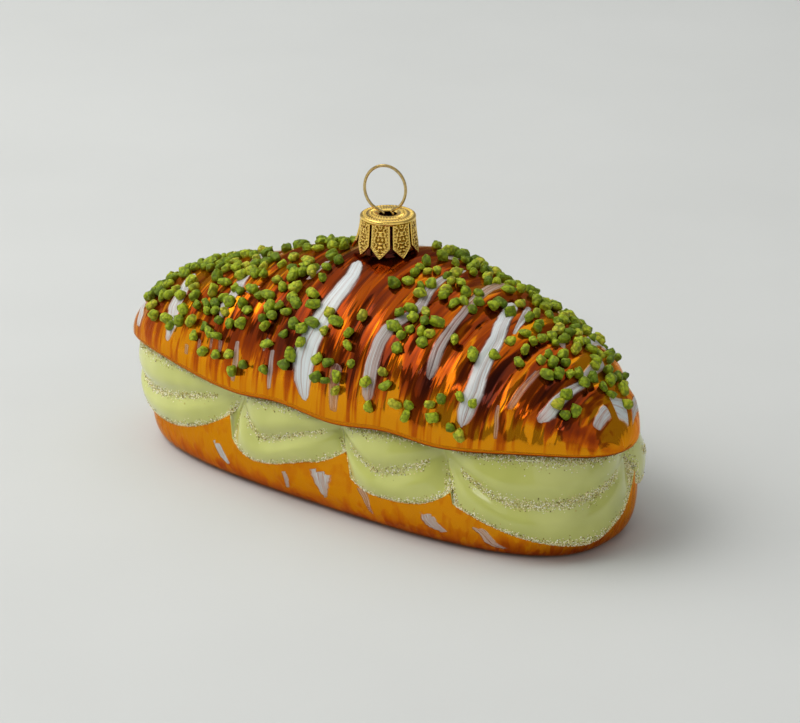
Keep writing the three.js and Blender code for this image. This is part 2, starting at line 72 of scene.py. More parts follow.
NORMAL_STEP, BASE_ROW_CROWDING = 0.01, 1.6
ROUND_STEPS, BASE_ROWS, CREAM_HALF_ROWS, LIP_ROWS, ARCH_STEPS, NECK_SIDES = 640, 22, 26, 5, 126, 64


def signed_power(value, power):
    """The size of a value raised to a power, with the value's sign kept."""
    return np.sign(value) * np.abs(value) ** power


def past(value, power):
    """A value raised to a power where it is above nought, and nought elsewhere."""
    return np.maximum(0, value) ** power


def between(start, end, share):
    """The point or number that is a share of the way from start to end."""
    return start + (end - start) * share


def bell(value, width):
    """A bell curve: 1 where a value is nought, falling off over a width to both sides."""
    return np.exp(-((value / width) ** 2))


def unit(vectors):
    """The same directions at length 1."""
    return vectors / np.linalg.norm(vectors, axis=-1, keepdims=True)


def full_turn(steps):
    """Angles at even steps round a full turn."""
    return 2 * np.pi * np.arange(steps) / steps


def lathe(radius, height, turn):
    """Points at a radius and a height, turned round the Z axis."""
    return np.stack(np.broadcast_arrays(radius * np.cos(turn), radius * np.sin(turn), height), -1)


def outline(half_length, half_width, squareness, shift, skew, turn):
    """Plan outline: a superellipse, moved along X by shift at both tips, wider towards one end by skew, and
    bent to the front at its tips by the square of the way along."""
    along = signed_power(np.cos(turn), 2 / squareness)
    across = signed_power(np.sin(turn), 2 / squareness)
    x = half_length * along + shift * along ** 2
    y = half_width * across * (1 + skew * along) + TIP_BEND * along ** 2
    return x, y


def shell_at(turn):
    """The row of SHELLS at a turn round the outline, column by column, and the place within that shell from
    0 to 1. Each long side has the same shells, half a turn apart; the sine allows for the closeness at the
    tips, and a power of the cosine carries the last front shell round the +X tip."""
    steady = (turn - TIP_CLOSENESS / 2 * np.sin(2 * turn)) / np.pi
    share = (steady - SHELL_TIP_OFFSET - TIP_WRAP * past(np.cos(turn), TIP_WRAP_POWER)) % 1
    starts = SHELLS[:, 0]
    k = np.searchsorted(starts, share, side="right") - 1
    ends = np.append(starts[1:], 1)
    shell = dict(zip(SHELL_COLUMNS, np.moveaxis(SHELLS[k], -1, 0)))
    return shell, (share - starts[k]) / (ends[k] - starts[k])


def cream_foot(turn):
    """Height at which cream meets base: lowest inside each shell, rising by powers to its head and its
    tail."""
    shell, within = shell_at(turn)
    head = shell["head_rise"] * np.maximum(0, 1 - within / shell["lowest"]) ** shell["head_power"]
    way = (within - shell["lowest"]) / (1 - shell["lowest"])
    return shell["foot"] + head + shell["tail_rise"] * np.maximum(0, way) ** shell["tail_power"]


def rim_height(turn):
    """Height of the crust's rim: a squared sine over each shell, less a power of the cosine at the tips."""
    _, within = shell_at(turn)
    wave = RIM_WAVE * np.sin(np.pi * within) ** 2
    return RIM_HEIGHT + wave - RIM_DROP_AT_TIPS * np.cos(turn) ** RIM_DROP_POWER


def base_wall(turn, height):
    """Base wall: the outline grows from the foot's to the widest one along a quarter of a superellipse."""
    open_share = np.clip(1 - height / BASE_WIDEST_HEIGHT, 0, 1) ** BASE_ROUNDNESS
    share = (1 - open_share) ** (1 / BASE_ROUNDNESS)
    half_length = between(FOOT_HALF_LENGTH, BASE_HALF_LENGTH, share)
    half_width = between(FOOT_HALF_WIDTH, BASE_HALF_WIDTH, share)
    x, y = outline(half_length, half_width, BASE_SQUARENESS, BASE_SHIFT * share, BASE_SKEW, turn)
    return np.stack(np.broadcast_arrays(x, y, height), -1)


def rim(turn, inset, height):
    """The crust's plan outline, drawn in by inset, at a height."""
    half_length, half_width = CRUST_HALF_LENGTH - inset, CRUST_HALF_WIDTH - inset
    x, y = outline(half_length, half_width, CRUST_SQUARENESS, CRUST_SHIFT, 0, turn)
    return np.stack(np.broadcast_arrays(x, y, height), -1)


def cream(turn, level):
    """Cream between the base and the rim, pushed out along the rim's normal by half an ellipse: plump in
    the middle of a shell, steeply rounded at its head, falling by a power to its tail, and less a narrow
    bell curve along the crease, which climbs by powers at both ends. Behind the +X tip it is squeezed out
    further, most under the rim. level is -1 at the base, 0 in the crease and 1 under the rim."""
    _, within = shell_at(turn)
    head = (1 - past(1 - within / HEAD_REACH, HEAD_POWER)) ** HEAD_ROUNDING
    plump = head * (1 - past(1 - (1 - within) / TAIL_REACH, TAIL_POWER))
    crease_share = CREASE_SHARE
    for way, (reach, climb, power) in ((within, CREASE_HEAD), (1 - within, CREASE_TAIL)):
        crease_share = crease_share + climb * past(1 - way / reach, power)
    share = np.where(level < 0, crease_share * (1 + level), between(crease_share, 1, level))
    crease = CREASE_DEPTH * plump * bell(share - crease_share, CREASE_HALF_WIDTH)
    squeezed = past(np.cos(turn - SQUEEZE_TURN), SQUEEZE_POWER)
    bulge = between(-JOINT_PINCH, SHELL_BULGE, plump) - crease * (1 - squeezed) + SQUEEZE * share * squeezed
    push = np.sqrt(np.maximum(0, 4 * share * (1 - share))) * bulge
    tangent = rim(turn + NORMAL_STEP, 0, 0) - rim(turn - NORMAL_STEP, 0, 0)
    normal = unit(np.stack([tangent[..., 1], -tangent[..., 0], 0 * tangent[..., 2]], -1))
    bottom = base_wall(turn, cream_foot(turn))
    top = rim(turn, RIM_GROOVE_INSET, rim_height(turn) - RIM_LIP_DROP)
    return between(bottom, top, share[..., None]) + normal * push[..., None]


def arch_rise(turn):
    """Rise of the crust's arch over the rim: a root of the way from the tip, rounded off over the middle."""
    along = signed_power(np.cos(turn), 2 / CRUST_SQUARENESS)
    fall = (np.hypot(along, RIDGE_ROUNDING) - RIDGE_ROUNDING) / (np.hypot(1, RIDGE_ROUNDING) - RIDGE_ROUNDING)
    return RIDGE_RISE * past(1 - fall, RIDGE_POWER) * (1 + RIDGE_SKEW * along)


def crust(turn, lift, relief=0):
    """Crust: half an ellipse over each place along X, from the front rim at lift 0 over the ridge to the
    back rim at lift pi. Each rolled segment swells by a half less the cube of the way to its edges, and
    relief is added to that."""
    back, front = rim(turn, 0, rim_height(turn)), rim(-turn, 0, rim_height(-turn))
    rise = arch_rise(turn)
    k = np.clip(np.searchsorted(SEGMENT_EDGES, back[..., 0], side="right") - 1, 0, len(SEGMENT_EDGES) - 2)
    within = (back[..., 0] - SEGMENT_EDGES[k]) / (SEGMENT_EDGES[k + 1] - SEGMENT_EDGES[k])
    swell = SEGMENT_SWELL * (0.5 - np.abs(2 * within - 1) ** 3) * np.sin(lift) + relief
    swell = swell * np.minimum(1, rise / SWELL_FADE_RISE)
    point = between(front, back, ((1 - np.cos(lift)) / 2)[..., None])
    point[..., 1] -= swell * np.cos(lift)
    point[..., 2] += (rise + swell) * np.sin(lift)
    return point


def crust_folds(x, lift):
    """Shallow folds over the crust from rim to rim: arches of sines along X between sharp creases, which
    wander with lift, fade out at the rim and round the neck and are deeper towards the +X end."""
    folds = 0
    for length, depth, phase in FOLD_WAVES:
        wander = FOLD_WANDER_OVER[0] * np.sin(FOLD_WANDER_OVER[1] * lift + phase)
        wander = wander + FOLD_WANDER_ALONG[0] * np.sin(FOLD_WANDER_ALONG[1] * x + phase)
        arched = np.abs(np.sin(np.pi * (x + wander) / length + phase)) ** FOLD_SHARPNESS
        folds = folds + depth * (arched - FOLD_LEVEL)
    fade = np.clip(np.sin(lift) / FOLD_RIM_FADE, 0, 1) ** FOLD_RIM_POWER
    at_neck = bell(x, FOLD_NECK_LENGTH) * bell(np.cos(lift), FOLD_NECK_SPREAD)
    growth = between(FOLD_LEFT_SHARE, 1, np.clip((x - FOLD_LEFT_X) / FOLD_GROWTH, 0, 1))
    return folds * fade * (1 - at_neck) * growth


def numbered(points, first=0):
    """Point numbers for a grid of points, counted from first."""
    return first + np.arange(points[..., 0].size).reshape(points.shape[:-1])


def grid_faces(index, closed):
    """Four-sided faces between neighbouring rows and columns of a grid of point numbers. closed joins the
    last column to the first."""
    here, there = (index, np.roll(index, -1, axis=1)) if closed else (index[:, :-1], index[:, 1:])
    return np.stack([here[:-1], there[:-1], there[1:], here[1:]], -1).reshape(-1, 4)


def fan_faces(ring, pole):
    """Triangles from each edge of a ring of point numbers to a pole."""
    return np.stack([ring, np.roll(ring, -1), np.full(ring.shape, pole)], -1)


def add_piece(name, points, faces):
    """A smooth mesh object at the origin from points in millimetres and lists of faces, which rides on the
    ornament's one body."""
    mesh = bpy.data.meshes.new(name)
    mesh.from_pydata((points * MM).tolist(), [], [face for group in faces for face in group.tolist()])
    mesh.polygons.foreach_set("use_smooth", np.ones(len(mesh.polygons), bool))
    made = bpy.data.objects.new(name, mesh)
    bpy.context.scene.collection.objects.link(made)
    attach(made, "root")
    return made


def add_attribute(made, name, values):
    """Writes a number, or three, for each point of a piece as a named attribute."""
    kind, field = ("FLOAT_VECTOR", "vector") if values.ndim == 2 else ("FLOAT", "value")
    attribute = made.data.attributes.new(name, kind, "POINT")
    attribute.data.foreach_set(field, np.ascontiguousarray(values, np.float32).ravel())


round_turn = full_turn(ROUND_STEPS)
base_share = np.linspace(0, 1, BASE_ROWS + 1)[:, None] ** BASE_ROW_CROWDING
base_rows = base_wall(round_turn, base_share * cream_foot(round_turn))
cream_level = np.linspace(-1, 1, 2 * CREAM_HALF_ROWS + 1)[1:, None]
cream_rows = cream(round_turn + 0 * cream_level, cream_level + 0 * round_turn)
lip_bend = np.linspace(0, np.pi / 2, LIP_ROWS)[:, None]
lip_rows = rim(
    round_turn + 0 * lip_bend,
    RIM_LIP_INSET * (1 - np.sin(lip_bend)),
    rim_height(round_turn) - RIM_LIP_DROP * np.cos(lip_bend),
)
rows = np.concatenate([base_rows, cream_rows, lip_rows])
ring_index = numbered(rows)
half_steps = ROUND_STEPS // 2
arch_turn, arch_lift = np.meshgrid(
    round_turn[1:half_steps], np.linspace(0, np.pi, ARCH_STEPS + 1)[1:-1], indexing="ij"
)
arch_x = rim(arch_turn, 0, 0)[..., 0]
arch_folds = crust_folds(arch_x, arch_lift)
arches = crust(arch_turn, arch_lift, arch_folds)
arch_index = np.empty((half_steps - 1, ARCH_STEPS + 1), int)
arch_index[:, 1:-1] = numbered(arches, ring_index.size)
arch_index[:, 0] = ring_index[-1, :half_steps:-1]
arch_index[:, -1] = ring_index[-1, 1:half_steps]
tip_right, tip_left = ring_index[-1, 0], ring_index[-1, half_steps]
flare = np.linspace(0, 1, NECK_FLARE_STEPS)
neck_profile = np.array(
    [(NECK_FLARE_RADIUS, NECK_ROOT)]
    + list(zip(
        NECK_RADIUS + (1 - flare) ** NECK_FLARE_POWER * (NECK_FLARE_RADIUS - NECK_RADIUS),
        between(NECK_FLARE_START - NECK_FLARE_LENGTH, NECK_FLARE_START, flare),
    ))
    + [(NECK_RADIUS, NECK_TOP - NECK_CHAMFER), (NECK_RADIUS - NECK_CHAMFER, NECK_TOP)]
    + [(NECK_BORE_RADIUS, NECK_TOP), (NECK_BORE_RADIUS, NECK_TOP - NECK_BORE_DEPTH)]
)
neck_rows = lathe(neck_profile[:, :1], neck_profile[:, 1:], full_turn(NECK_SIDES))
neck_first = ring_index.size + arches[..., 0].size
neck_index = numbered(neck_rows, neck_first)
poles = np.array([(0, 0, 0), (0, 0, NECK_ROOT), (0, 0, NECK_TOP - NECK_BORE_DEPTH)])
foot_pole, root_pole, bore_pole = neck_first + neck_index.size + np.arange(3)
body_points = np.concatenate([rows.reshape(-1, 3), arches.reshape(-1, 3), neck_rows.reshape(-1, 3), poles])
base_end, cream_end = len(base_rows), len(base_rows) + len(cream_rows)
body_faces = [
    grid_faces(ring_index[base_end - 1:cream_end], True),
    grid_faces(ring_index[:base_end], True),
    grid_faces(ring_index[cream_end - 1:], True),
    grid_faces(arch_index, False),
    np.stack([np.full(ARCH_STEPS, tip_right), arch_index[0, 1:], arch_index[0, :-1]], -1),
    np.stack([arch_index[-1, :-1], arch_index[-1, 1:], np.full(ARCH_STEPS, tip_left)], -1),
    grid_faces(neck_index, True),
    fan_faces(ring_index[0, ::-1], foot_pole),
    fan_faces(neck_index[0, ::-1], root_pole),
    fan_faces(neck_index[-1], bore_pole),
]
body = add_piece("glass_croissant", body_points, body_faces)
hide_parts("glass_body")
cream_face_count = len(body_faces[0])

# Brushwork on the body: strokes of white paint, thin and pinkish grey where the brush ran dry, drawn by hand
# over the crust from the ridge towards the rim and on the base. They follow the glass, so each point of the
# mesh carries its place across and along the nearest stroke.
STROKES = (  # whiteness, then along X, lift in degrees and width at each place from foot to head
    (0.55, (-43.8, 13, 1.8, -44.6, 27, 2.6, -47.1, 49, 2.2)),
    (0.72, (-32.6, 12, 1.2, -32.7, 26, 3.6, -34.2, 38, 3.2, -35.2, 54, 2.6, -37.1, 71, 2)),
    (0.65, (-21, 35, 1, -22.1, 44, 2.9, -21.8, 53, 3.1, -23, 65, 2.7, -25.1, 79, 2.2, -29.4, 102, 2.5)),
    (0.40, (-18.8, 52, 1.4, -18, 58, 1.5)),
    (0.12, (-26.9, 9, 0.8, -27.2, 17, 1.1)),
    (0.12, (-24, 13, 0.6, -24.4, 22, 0.8)),
    (0.12, (-21.1, 18, 0.6, -21.6, 29, 0.8)),
    (0.12, (-19, 18, 0.6, -19.5, 25, 0.8)),
    (0.25, (-15, 5, 0.9, -14.8, 16, 1.3, -15.5, 27, 0.9)),
    (0.20, (-9.4, 22, 0.6, -9.4, 30, 0.6)),
    (0.30, (-6.7, 4, 0.7, -6.7, 14, 1.1, -7.1, 24, 0.9)),
    (0.40, (-7.8, 60, 1.4, -7.6, 69, 1.8, -8.1, 77, 1.4)),
    (0.95, (0.9, 5, 1.6, 0.1, 13, 3.4, -0.5, 22, 4.5, -0.5, 30, 4.3, -0.1, 39, 3.8, 0.1, 49, 3.8,
            0.3, 57, 3.4, 0.1, 66, 3, -1.5, 76, 2.2)),
    (0.15, (6.8, 5, 1.4, 6.3, 17, 2.3, 5.8, 26, 1.9)),
    (0.50, (13.1, 12, 2, 12.6, 22, 2.4, 12.1, 31, 2.2, 11.9, 41, 2, 12.1, 48, 2.1, 13.8, 58, 1.8,
            14.1, 66, 1.8, 13.1, 75, 1.8, 12.8, 85, 1.4, 12.6, 102, 1.2)),
    (0.30, (22.2, 32, 0.8, 22, 40, 1.8, 21.5, 49, 1.8, 21.4, 58, 1.5, 21.1, 71, 1.3, 20.1, 87, 1.9,
            18.7, 109, 2)),
    (0.80, (29.7, 14, 1.3, 29.7, 23, 2.7, 29.8, 36, 2.8, 29.1, 51, 2.5, 28.3, 67, 2.4, 26, 84, 2.5,
            24.1, 98, 2.5)),
    (0.60, (29.5, 76, 0.6, 28, 90, 1.2, 25.9, 103, 1.1)),
    (0.10, (36.1, 31, 0.9, 36.5, 47, 1.2, 37, 63, 0.9)),
    (0.60, (40.5, 28, 1.6, 41.1, 37, 2.1, 41.5, 56, 1.6, 42, 77, 1.2, 41.1, 96, 1.4, 40.5, 114, 1.1)),
    (0.95, (46.3, 92, 2.2, 46.9, 112, 2.4, 47.1, 118, 2.2)),
    (0.55, (46.8, 48, 0.9, 46.4, 82, 1.5)),
    (0.15, (35.1, 9, 0.5, 35, 19, 0.7, 34.3, 32, 0.7)),
    (0.35, (36.4, 88, 1.5, 34.3, 97, 1.8)),
)
BASE_STROKES = (  # the same, with heights in place of lifts
    (0.50, (-40.9, 0.9, 1.3, -43.5, 2.4, 1.3)),
    (0.70, (-18.6, 3, 0.8, -19.6, 4.1, 1.8, -20.4, 5.4, 2, -21.3, 6.8, 1.6)),
    (0.45, (-5.4, 2.5, 0.7, -5.3, 4.4, 1.1, -5.7, 5.7, 1.1)),
    (0.50, (2.8, 3.2, 1, 2.5, 5, 2.5, 2.2, 6.5, 3.9, 2.2, 8, 5)),
    (0.20, (12.6, 2.7, 0.6, 12, 4.1, 0.9, 11.6, 5.6, 1.5, 10.6, 7.1, 2)),
    (0.45, (26.6, 2.8, 1.8, 25, 3.5, 3.6, 24, 4.5, 3, 23.5, 5.9, 2.3)),
    (0.30, (35.9, 1.7, 2.2, 34.3, 2.6, 2.2, 33.6, 4, 1.8, 32.3, 5.2, 2.6)),
)
STROKE_END, STROKE_LEAST_HALF, STROKE_CLIP, OFF_STROKE = 0.04, 0.02, 1.5, 3
FRONT_STROKE_TOP = 84  # a stroke that ends below this lift is repeated on the back


def nearest_stroke(strokes, x, height):
    """For each place, the stroke that it is in or nearest to: the place across it, where -1 and 1 are its
    edges, the place along it from foot to head, its whiteness, and the distance from its middle line in
    half widths. The middle line and the width run straight between the given places, and the width closes
    by roots at both ends."""
    nearest = np.full((4, x.size), np.inf)
    for white, places in strokes:
        at, level, width = np.reshape(places, (-1, 3)).T
        along = (height - level[0]) / (level[-1] - level[0])
        inside = np.clip(along, 0, 1)
        ends = np.sqrt(np.minimum(1, inside / STROKE_END) * np.minimum(1, (1 - inside) / STROKE_END))
        half = np.maximum(STROKE_LEAST_HALF, np.interp(height, level, width) / 2 * ends)
        across = (x - np.interp(height, level, at)) / half
        distance = np.where(along == inside, np.abs(across), OFF_STROKE)
        across = np.clip(across, -STROKE_CLIP, STROKE_CLIP)
        found = np.stack([across, inside, np.full(x.size, white), distance])
        nearer = found[3] < nearest[3]
        nearest[:, nearer] = found[:, nearer]
    nearest[3] = np.minimum(nearest[3], OFF_STROKE)
    return nearest


def half_turned(strokes, height_sum):
    """The same strokes on the far side, half a turn round. height_sum less a height is the new height, or a
    height stays where height_sum is nought."""
    turned = []
    for white, places in strokes:
        x, height, width = np.reshape(places, (-1, 3)).T
        far = zip(-x, height_sum - height if height_sum else height, width)
        turned.append((white, sorted(far, key=lambda place: place[1])))
    return turned


brushed = np.zeros((4, len(body_points)))
brushed[3] = OFF_STROKE
base_count = base_rows[..., 0].size
base_x, base_y, base_z = body_points[:base_count].T
front = base_y < 0
for side, strokes in ((front, BASE_STROKES), (~front, half_turned(BASE_STROKES, 0))):
    brushed[:, np.flatnonzero(side)] = nearest_stroke(strokes, base_x[side], base_z[side])
front_only = [stroke for stroke in STROKES if stroke[1][-2] < FRONT_STROKE_TOP]
brushed[:, ring_index.size:neck_first] = nearest_stroke(
    [*STROKES, *half_turned(front_only, 180)], arch_x.ravel(), np.degrees(arch_lift).ravel()
)
add_attribute(body, "stroke", brushed[:3].T)
add_attribute(body, "stroke_edge", brushed[3])

# Lacquer on the body: clear amber spread over the silvered glass by brush, so that it is streaky. It is
# golden at the rim, at the tips and on the base, red-brown on the flanks, amber under the ridge and almost
# black-red round the neck, where the depth is raised as painted shade under the cap. Painted light is also
# mixed into the depth: painted shade under the rim's lip and at the foot of the base, and painted highlights
# on the crests of the folds and at the top of the base.
ROUND_LENGTH, LIFT_LENGTH, HEIGHT_STRETCH = 36, 26, 7
SILVER_LACQUER = (  # depth of the lacquer, and the colour that the silver has under it
    (0.14, (0.75, 0.28, 0.004, 1)),
    (0.27, (0.64, 0.168, 0.002, 1)),
    (0.37, (0.46, 0.085, 0.002, 1)),
    (0.62, (0.26, 0.033, 0.002, 1)),
    (1.0, (0.06, 0.009, 0.006, 1)),
)
THIN_PAINT, WHITE_PAINT, GLOSS_TINT = (0.50, 0.44, 0.43, 1), (0.65, 0.71, 0.73, 1), (1.0, 0.55, 0.12, 1)
# On the base the lacquer depth falls with height: painted shade at the foot and a painted sheen along the
# top.
BASE_DEPTH, BASE_SHADE_FALL, BASE_SHADE_HEIGHT, BASE_LIVELY = 0.4, 0.055, 5, 0.35
# Depths over the rim's lip, darkest underneath: partly a dark lacquer edge, partly painted shade under the
# rim.
LIP_DEPTHS_AND_SHADE = (1.0, 1.0, 0.95, 0.8, 0.45, 0.2)
SIDE_BLEND, LEFT_FROM, LEFT_LENGTH, RIGHT_FROM, RIGHT_LENGTH = 0.35, 8, 30, 5, 20
BAND_FOOT, BAND_FADE = (0.1, 0.08, 0.03), (0.18, 0.2, 0.07)  # middle, more at the left, more at the right
RIM_DEPTH, FLANK_DEPTH, RIDGE_LIGHTER = (0.15, 0.04, 0), (0.5, -0.37, 0), (0.6, 0, -0.48)
# The lacquer is deepened round the neck as painted shade under the cap.
RIDGE_FROM, RIDGE_REACH, NECK_SHADE_DEPTH, NECK_SHADE_REACH = 0.42, 0.5, 0.6, 9
TIP_GOLD_FROM, TIP_GOLD_LENGTH, LIVELY_AT_RIM, LIVELY_REACH = 49.3, 3, 0.7, 0.1
STREAKS = {  # scale across and along the brush, and detail
    "broad": ((0.16, 0.035, 1), 2),
    "finger": ((0.38, 0.032, 1), 2.5),
    "tongue": ((0.85, 0.03, 1), 2),
    "fine": ((2.4, 0.12, 1), 2),
    "wave": ((0.6, 0.06, 1), 2),
    "ragged": ((1.6, 0.2, 1), 3),
}
SWATH, SWATH_MIDDLE, SWATH_EDGE, TONGUE = (0.42, 0.56), 0.47, (0.03, 0.008), (0.4, 0.6)
DEPTH_SWINGS = (0.6, 0.3, 0.22, 0.2)  # of the broad streaks, the swaths, the tongues and the fine streaks
# The crests of the folds are painted lighter, as a painted highlight.
EDGE_LIGHTER, CREST_HIGHLIGHT, RAGGEDNESS = -0.3, -0.3, 0.5
PAINT_RELIEF, WAVE_RELIEF, SWATH_RELIEF, BRISTLE_RELIEF = 0.8, 1.5, 0.35, 0.7
BRISTLE_SCALE, BRISTLE_CONTRAST, DRY_FOOT, DRY_LOSS = (7.5, 0.9, 9), 4.2, 0.16, -0.45
STROKE_FRINGE, PAINT_WHITE, PAINT_COVER, PAINT_BODY = (1.15, 0.75), (0.2, 1.25), (-0.3, 0.6), (-1.1, 0.6)


def connect(node, inputs):
    """Sets each input of a node, or joins it to another node's output."""
    for key, value in inputs.items():
        if isinstance(value, bpy.types.NodeSocket):
            node.id_data.links.new(value, node.inputs[key])
        else:
            node.inputs[key].default_value = value


def add_node(kind, inputs, tree=None, **settings):
    """A shader node with its inputs and settings, in a tree or else in that of an output it is joined to."""
    if tree is None:
        tree = next(value.id_data for value in inputs.values() if isinstance(value, bpy.types.NodeSocket))
    made = tree.nodes.new(kind)
    for key, value in settings.items():
        setattr(made, key, value)
    connect(made, inputs)
    return made


def maths(operation, a, b=0.0, c=0.0):
    """The result of a Math node."""
    return add_node("ShaderNodeMath", {0: a, 1: b, 2: c}, operation=operation).outputs[0]


def times(a, b, plus=0.0):
    """The product of a and b, and what is added to it."""
    return maths("MULTIPLY_ADD", a, b, plus)


def mixed(share, a, b):
    """The colour that is a share of the way from a to b."""
    return add_node("ShaderNodeMix", {0: share, 6: a, 7: b}, data_type="RGBA").outputs[2]


def eased(value, low, high):
    """0 where a value is at low, 1 where it is at high, and an S-curve between."""
    inputs = {"Value": value, "From Min": low, "From Max": high}
    return add_node("ShaderNodeMapRange", inputs, interpolation_type="SMOOTHSTEP").outputs[0]


def noise(vector, scale, detail, roughness=0.5):
    """Noise from 0 to 1 on coordinates stretched by scale."""
    stretched = add_node("ShaderNodeMapping", {"Vector": vector, "Scale": scale}).outputs[0]
    inputs = {"Vector": stretched, "Scale": 1.0, "Detail": detail, "Roughness": roughness}
    return add_node("ShaderNodeTexNoise", inputs).outputs[0]


def colour_ramp(value, stops):
    """A colour read from a row of (position, colour) stops."""
    ramp = add_node("ShaderNodeValToRGB", {0: value})
    for position, colour in stops[1:-1]:
        ramp.color_ramp.elements.new(position).color = colour
    for element, (position, colour) in zip(ramp.color_ramp.elements, stops):
        element.position, element.color = position, colour
    return ramp.outputs[0]


def swung(value, weight, start=0.0):
    """A start value moved by a weight times what a value from 0 to 1 is above or below a half."""
    return times(maths("SUBTRACT", value, 0.5), weight, start)


def read(tree, name, output="Fac"):
    """A named attribute of the mesh."""
    return add_node("ShaderNodeAttribute", {}, tree, attribute_name=name).outputs[output]


def bumped(height, strength, distance):
    """A normal that leans as on a surface with these heights, which are times distance in metres."""
    inputs = {"Strength": strength, "Distance": distance, "Height": height}
    return add_node("ShaderNodeBump", inputs).outputs[0]


def new_material(made, name):
    """Gives a piece one more node material, and returns its node tree and its Principled shader."""
    material = bpy.data.materials.new(name)
    material.use_nodes = True
    made.data.materials.append(material)
    return material.node_tree, material.node_tree.nodes["Principled BSDF"]


def join(shader, **inputs):
    """Sets or joins a shader's inputs, whose names are given with low lines for spaces."""
    connect(shader, {key.replace("_", " "): value for key, value in inputs.items()})


def by_side(middle, at_left, at_right):
    """A value over the crust, with what is added to it at the left end and on the right side, seen from the
    side that a place is on."""
    return middle + at_left * left_end + at_right * right_side


way_round = np.broadcast_to(round_turn * ROUND_LENGTH, rows.shape[:2])
ring_brush = np.stack([way_round, HEIGHT_STRETCH * rows[..., 2], 0 * way_round], -1)
arch_brush = np.stack([arch_x, arch_lift * LIFT_LENGTH, 0 * arch_x], -1)
brush_place = np.concatenate([ring_brush.reshape(-1, 3), arch_brush.reshape(-1, 3), body_points[neck_first:]])
add_attribute(body, "brush", brush_place)
lacquer_coat = np.zeros((len(body_points), 3))
lacquer_coat[:, 0] = 1
# Painted light on the base: deeper lacquer low down as painted shade, and thinner towards the top as a
# painted sheen.
lacquer_coat[:base_count, 0] = BASE_DEPTH - BASE_SHADE_FALL * np.minimum(base_z, BASE_SHADE_HEIGHT)
lacquer_coat[:base_count, 2] = BASE_LIVELY
# The lip's underside is dark: a dark lacquer edge with painted shade under the rim.
lacquer_coat[ring_index[cream_end - 1:].ravel(), 0] = np.repeat(LIP_DEPTHS_AND_SHADE, ROUND_STEPS)
arch_height = np.minimum(arch_lift, np.pi - arch_lift) / (np.pi / 2)
side_facing = np.clip(np.cos(arch_lift) / SIDE_BLEND, -1, 1)
left_end = np.clip((-side_facing * arch_x - LEFT_FROM) / LEFT_LENGTH, 0, 1)
right_side = np.clip((side_facing * arch_x - RIGHT_FROM) / RIGHT_LENGTH, 0, 1)
band_end = np.clip((arch_height - by_side(*BAND_FOOT)) / by_side(*BAND_FADE), 0, 1)
from_tip = np.clip((TIP_GOLD_FROM - np.abs(arch_x - CRUST_SHIFT)) / TIP_GOLD_LENGTH, 0, 1)
browned = band_end ** 2 * (3 - 2 * band_end) * from_tip
# Painted shade: deeper, darker lacquer round the neck, where the cap shades the crust.
neck_shade = bell(np.hypot(arches[..., 0], arches[..., 1]), NECK_SHADE_REACH)
arch_depth = by_side(*RIM_DEPTH) + by_side(*FLANK_DEPTH) * browned + NECK_SHADE_DEPTH * neck_shade
arch_depth -= by_side(*RIDGE_LIGHTER) * np.clip(arch_height - RIDGE_FROM, 0, RIDGE_REACH)
arch_lively = np.clip(arch_height / LIVELY_REACH, LIVELY_AT_RIM, 1)
lacquer_coat[ring_index.size:neck_first] = np.stack([arch_depth, arch_folds, arch_lively], -1).reshape(-1, 3)
add_attribute(body, "lacquer_coat", lacquer_coat)

tree, shader = new_material(body, "amber_lacquer_on_silver")
brush, stroke, coating = (read(tree, name, "Vector") for name in ("brush", "stroke", "lacquer_coat"))
depth, crest, lively = add_node("ShaderNodeSeparateXYZ", {0: coating}).outputs
_, along_stroke, whiteness = add_node("ShaderNodeSeparateXYZ", {0: stroke}).outputs
streak = {name: noise(brush, scale, detail=detail) for name, (scale, detail) in STREAKS.items()}
swath = eased(streak["finger"], *SWATH)
off_edge = maths("ABSOLUTE", maths("SUBTRACT", streak["finger"], SWATH_MIDDLE))
edge_line = times(eased(off_edge, *SWATH_EDGE), streak["broad"])
varied = 0.0
swinging = (streak["broad"], swath, eased(streak["tongue"], *TONGUE), streak["fine"])
for value, weight in zip(swinging, DEPTH_SWINGS):
    varied = swung(value, weight, varied)
varied = times(edge_line, EDGE_LIGHTER, varied)
depth = times(varied, lively, depth)
# Painted highlight: lighter lacquer on the crests of the folds.
depth = times(crest, CREST_HIGHLIGHT, depth)
bristles = noise(stroke, BRISTLE_SCALE, detail=3, roughness=0.65)
edge = swung(streak["ragged"], RAGGEDNESS, read(tree, "stroke_edge"))
on_stroke = eased(edge, *STROKE_FRINGE)
streaky = swung(bristles, BRISTLE_CONTRAST, whiteness)
streaky = times(eased(along_stroke, DRY_FOOT, 0.0), DRY_LOSS, streaky)
paint = mixed(eased(streaky, *PAINT_WHITE), THIN_PAINT, WHITE_PAINT)
cover = times(on_stroke, eased(whiteness, *PAINT_COVER))
thickness = times(cover, eased(streaky, *PAINT_BODY))
relief = times(thickness, PAINT_RELIEF, times(streak["wave"], WAVE_RELIEF))
relief = times(swath, SWATH_RELIEF, relief)
relief = times(times(bristles, on_stroke), BRISTLE_RELIEF, relief)
join(
    shader,
    Base_Color=mixed(thickness, colour_ramp(depth, SILVER_LACQUER), paint),
    Metallic=times(maths("SUBTRACT", 1, thickness), 0.93),
    Roughness=times(thickness, 0.3, 0.13),
    Specular_Tint=GLOSS_TINT,
    Coat_Weight=0.08,
    Coat_Roughness=0.03,
    Normal=bumped(relief, strength=0.6, distance=0.0003),
)

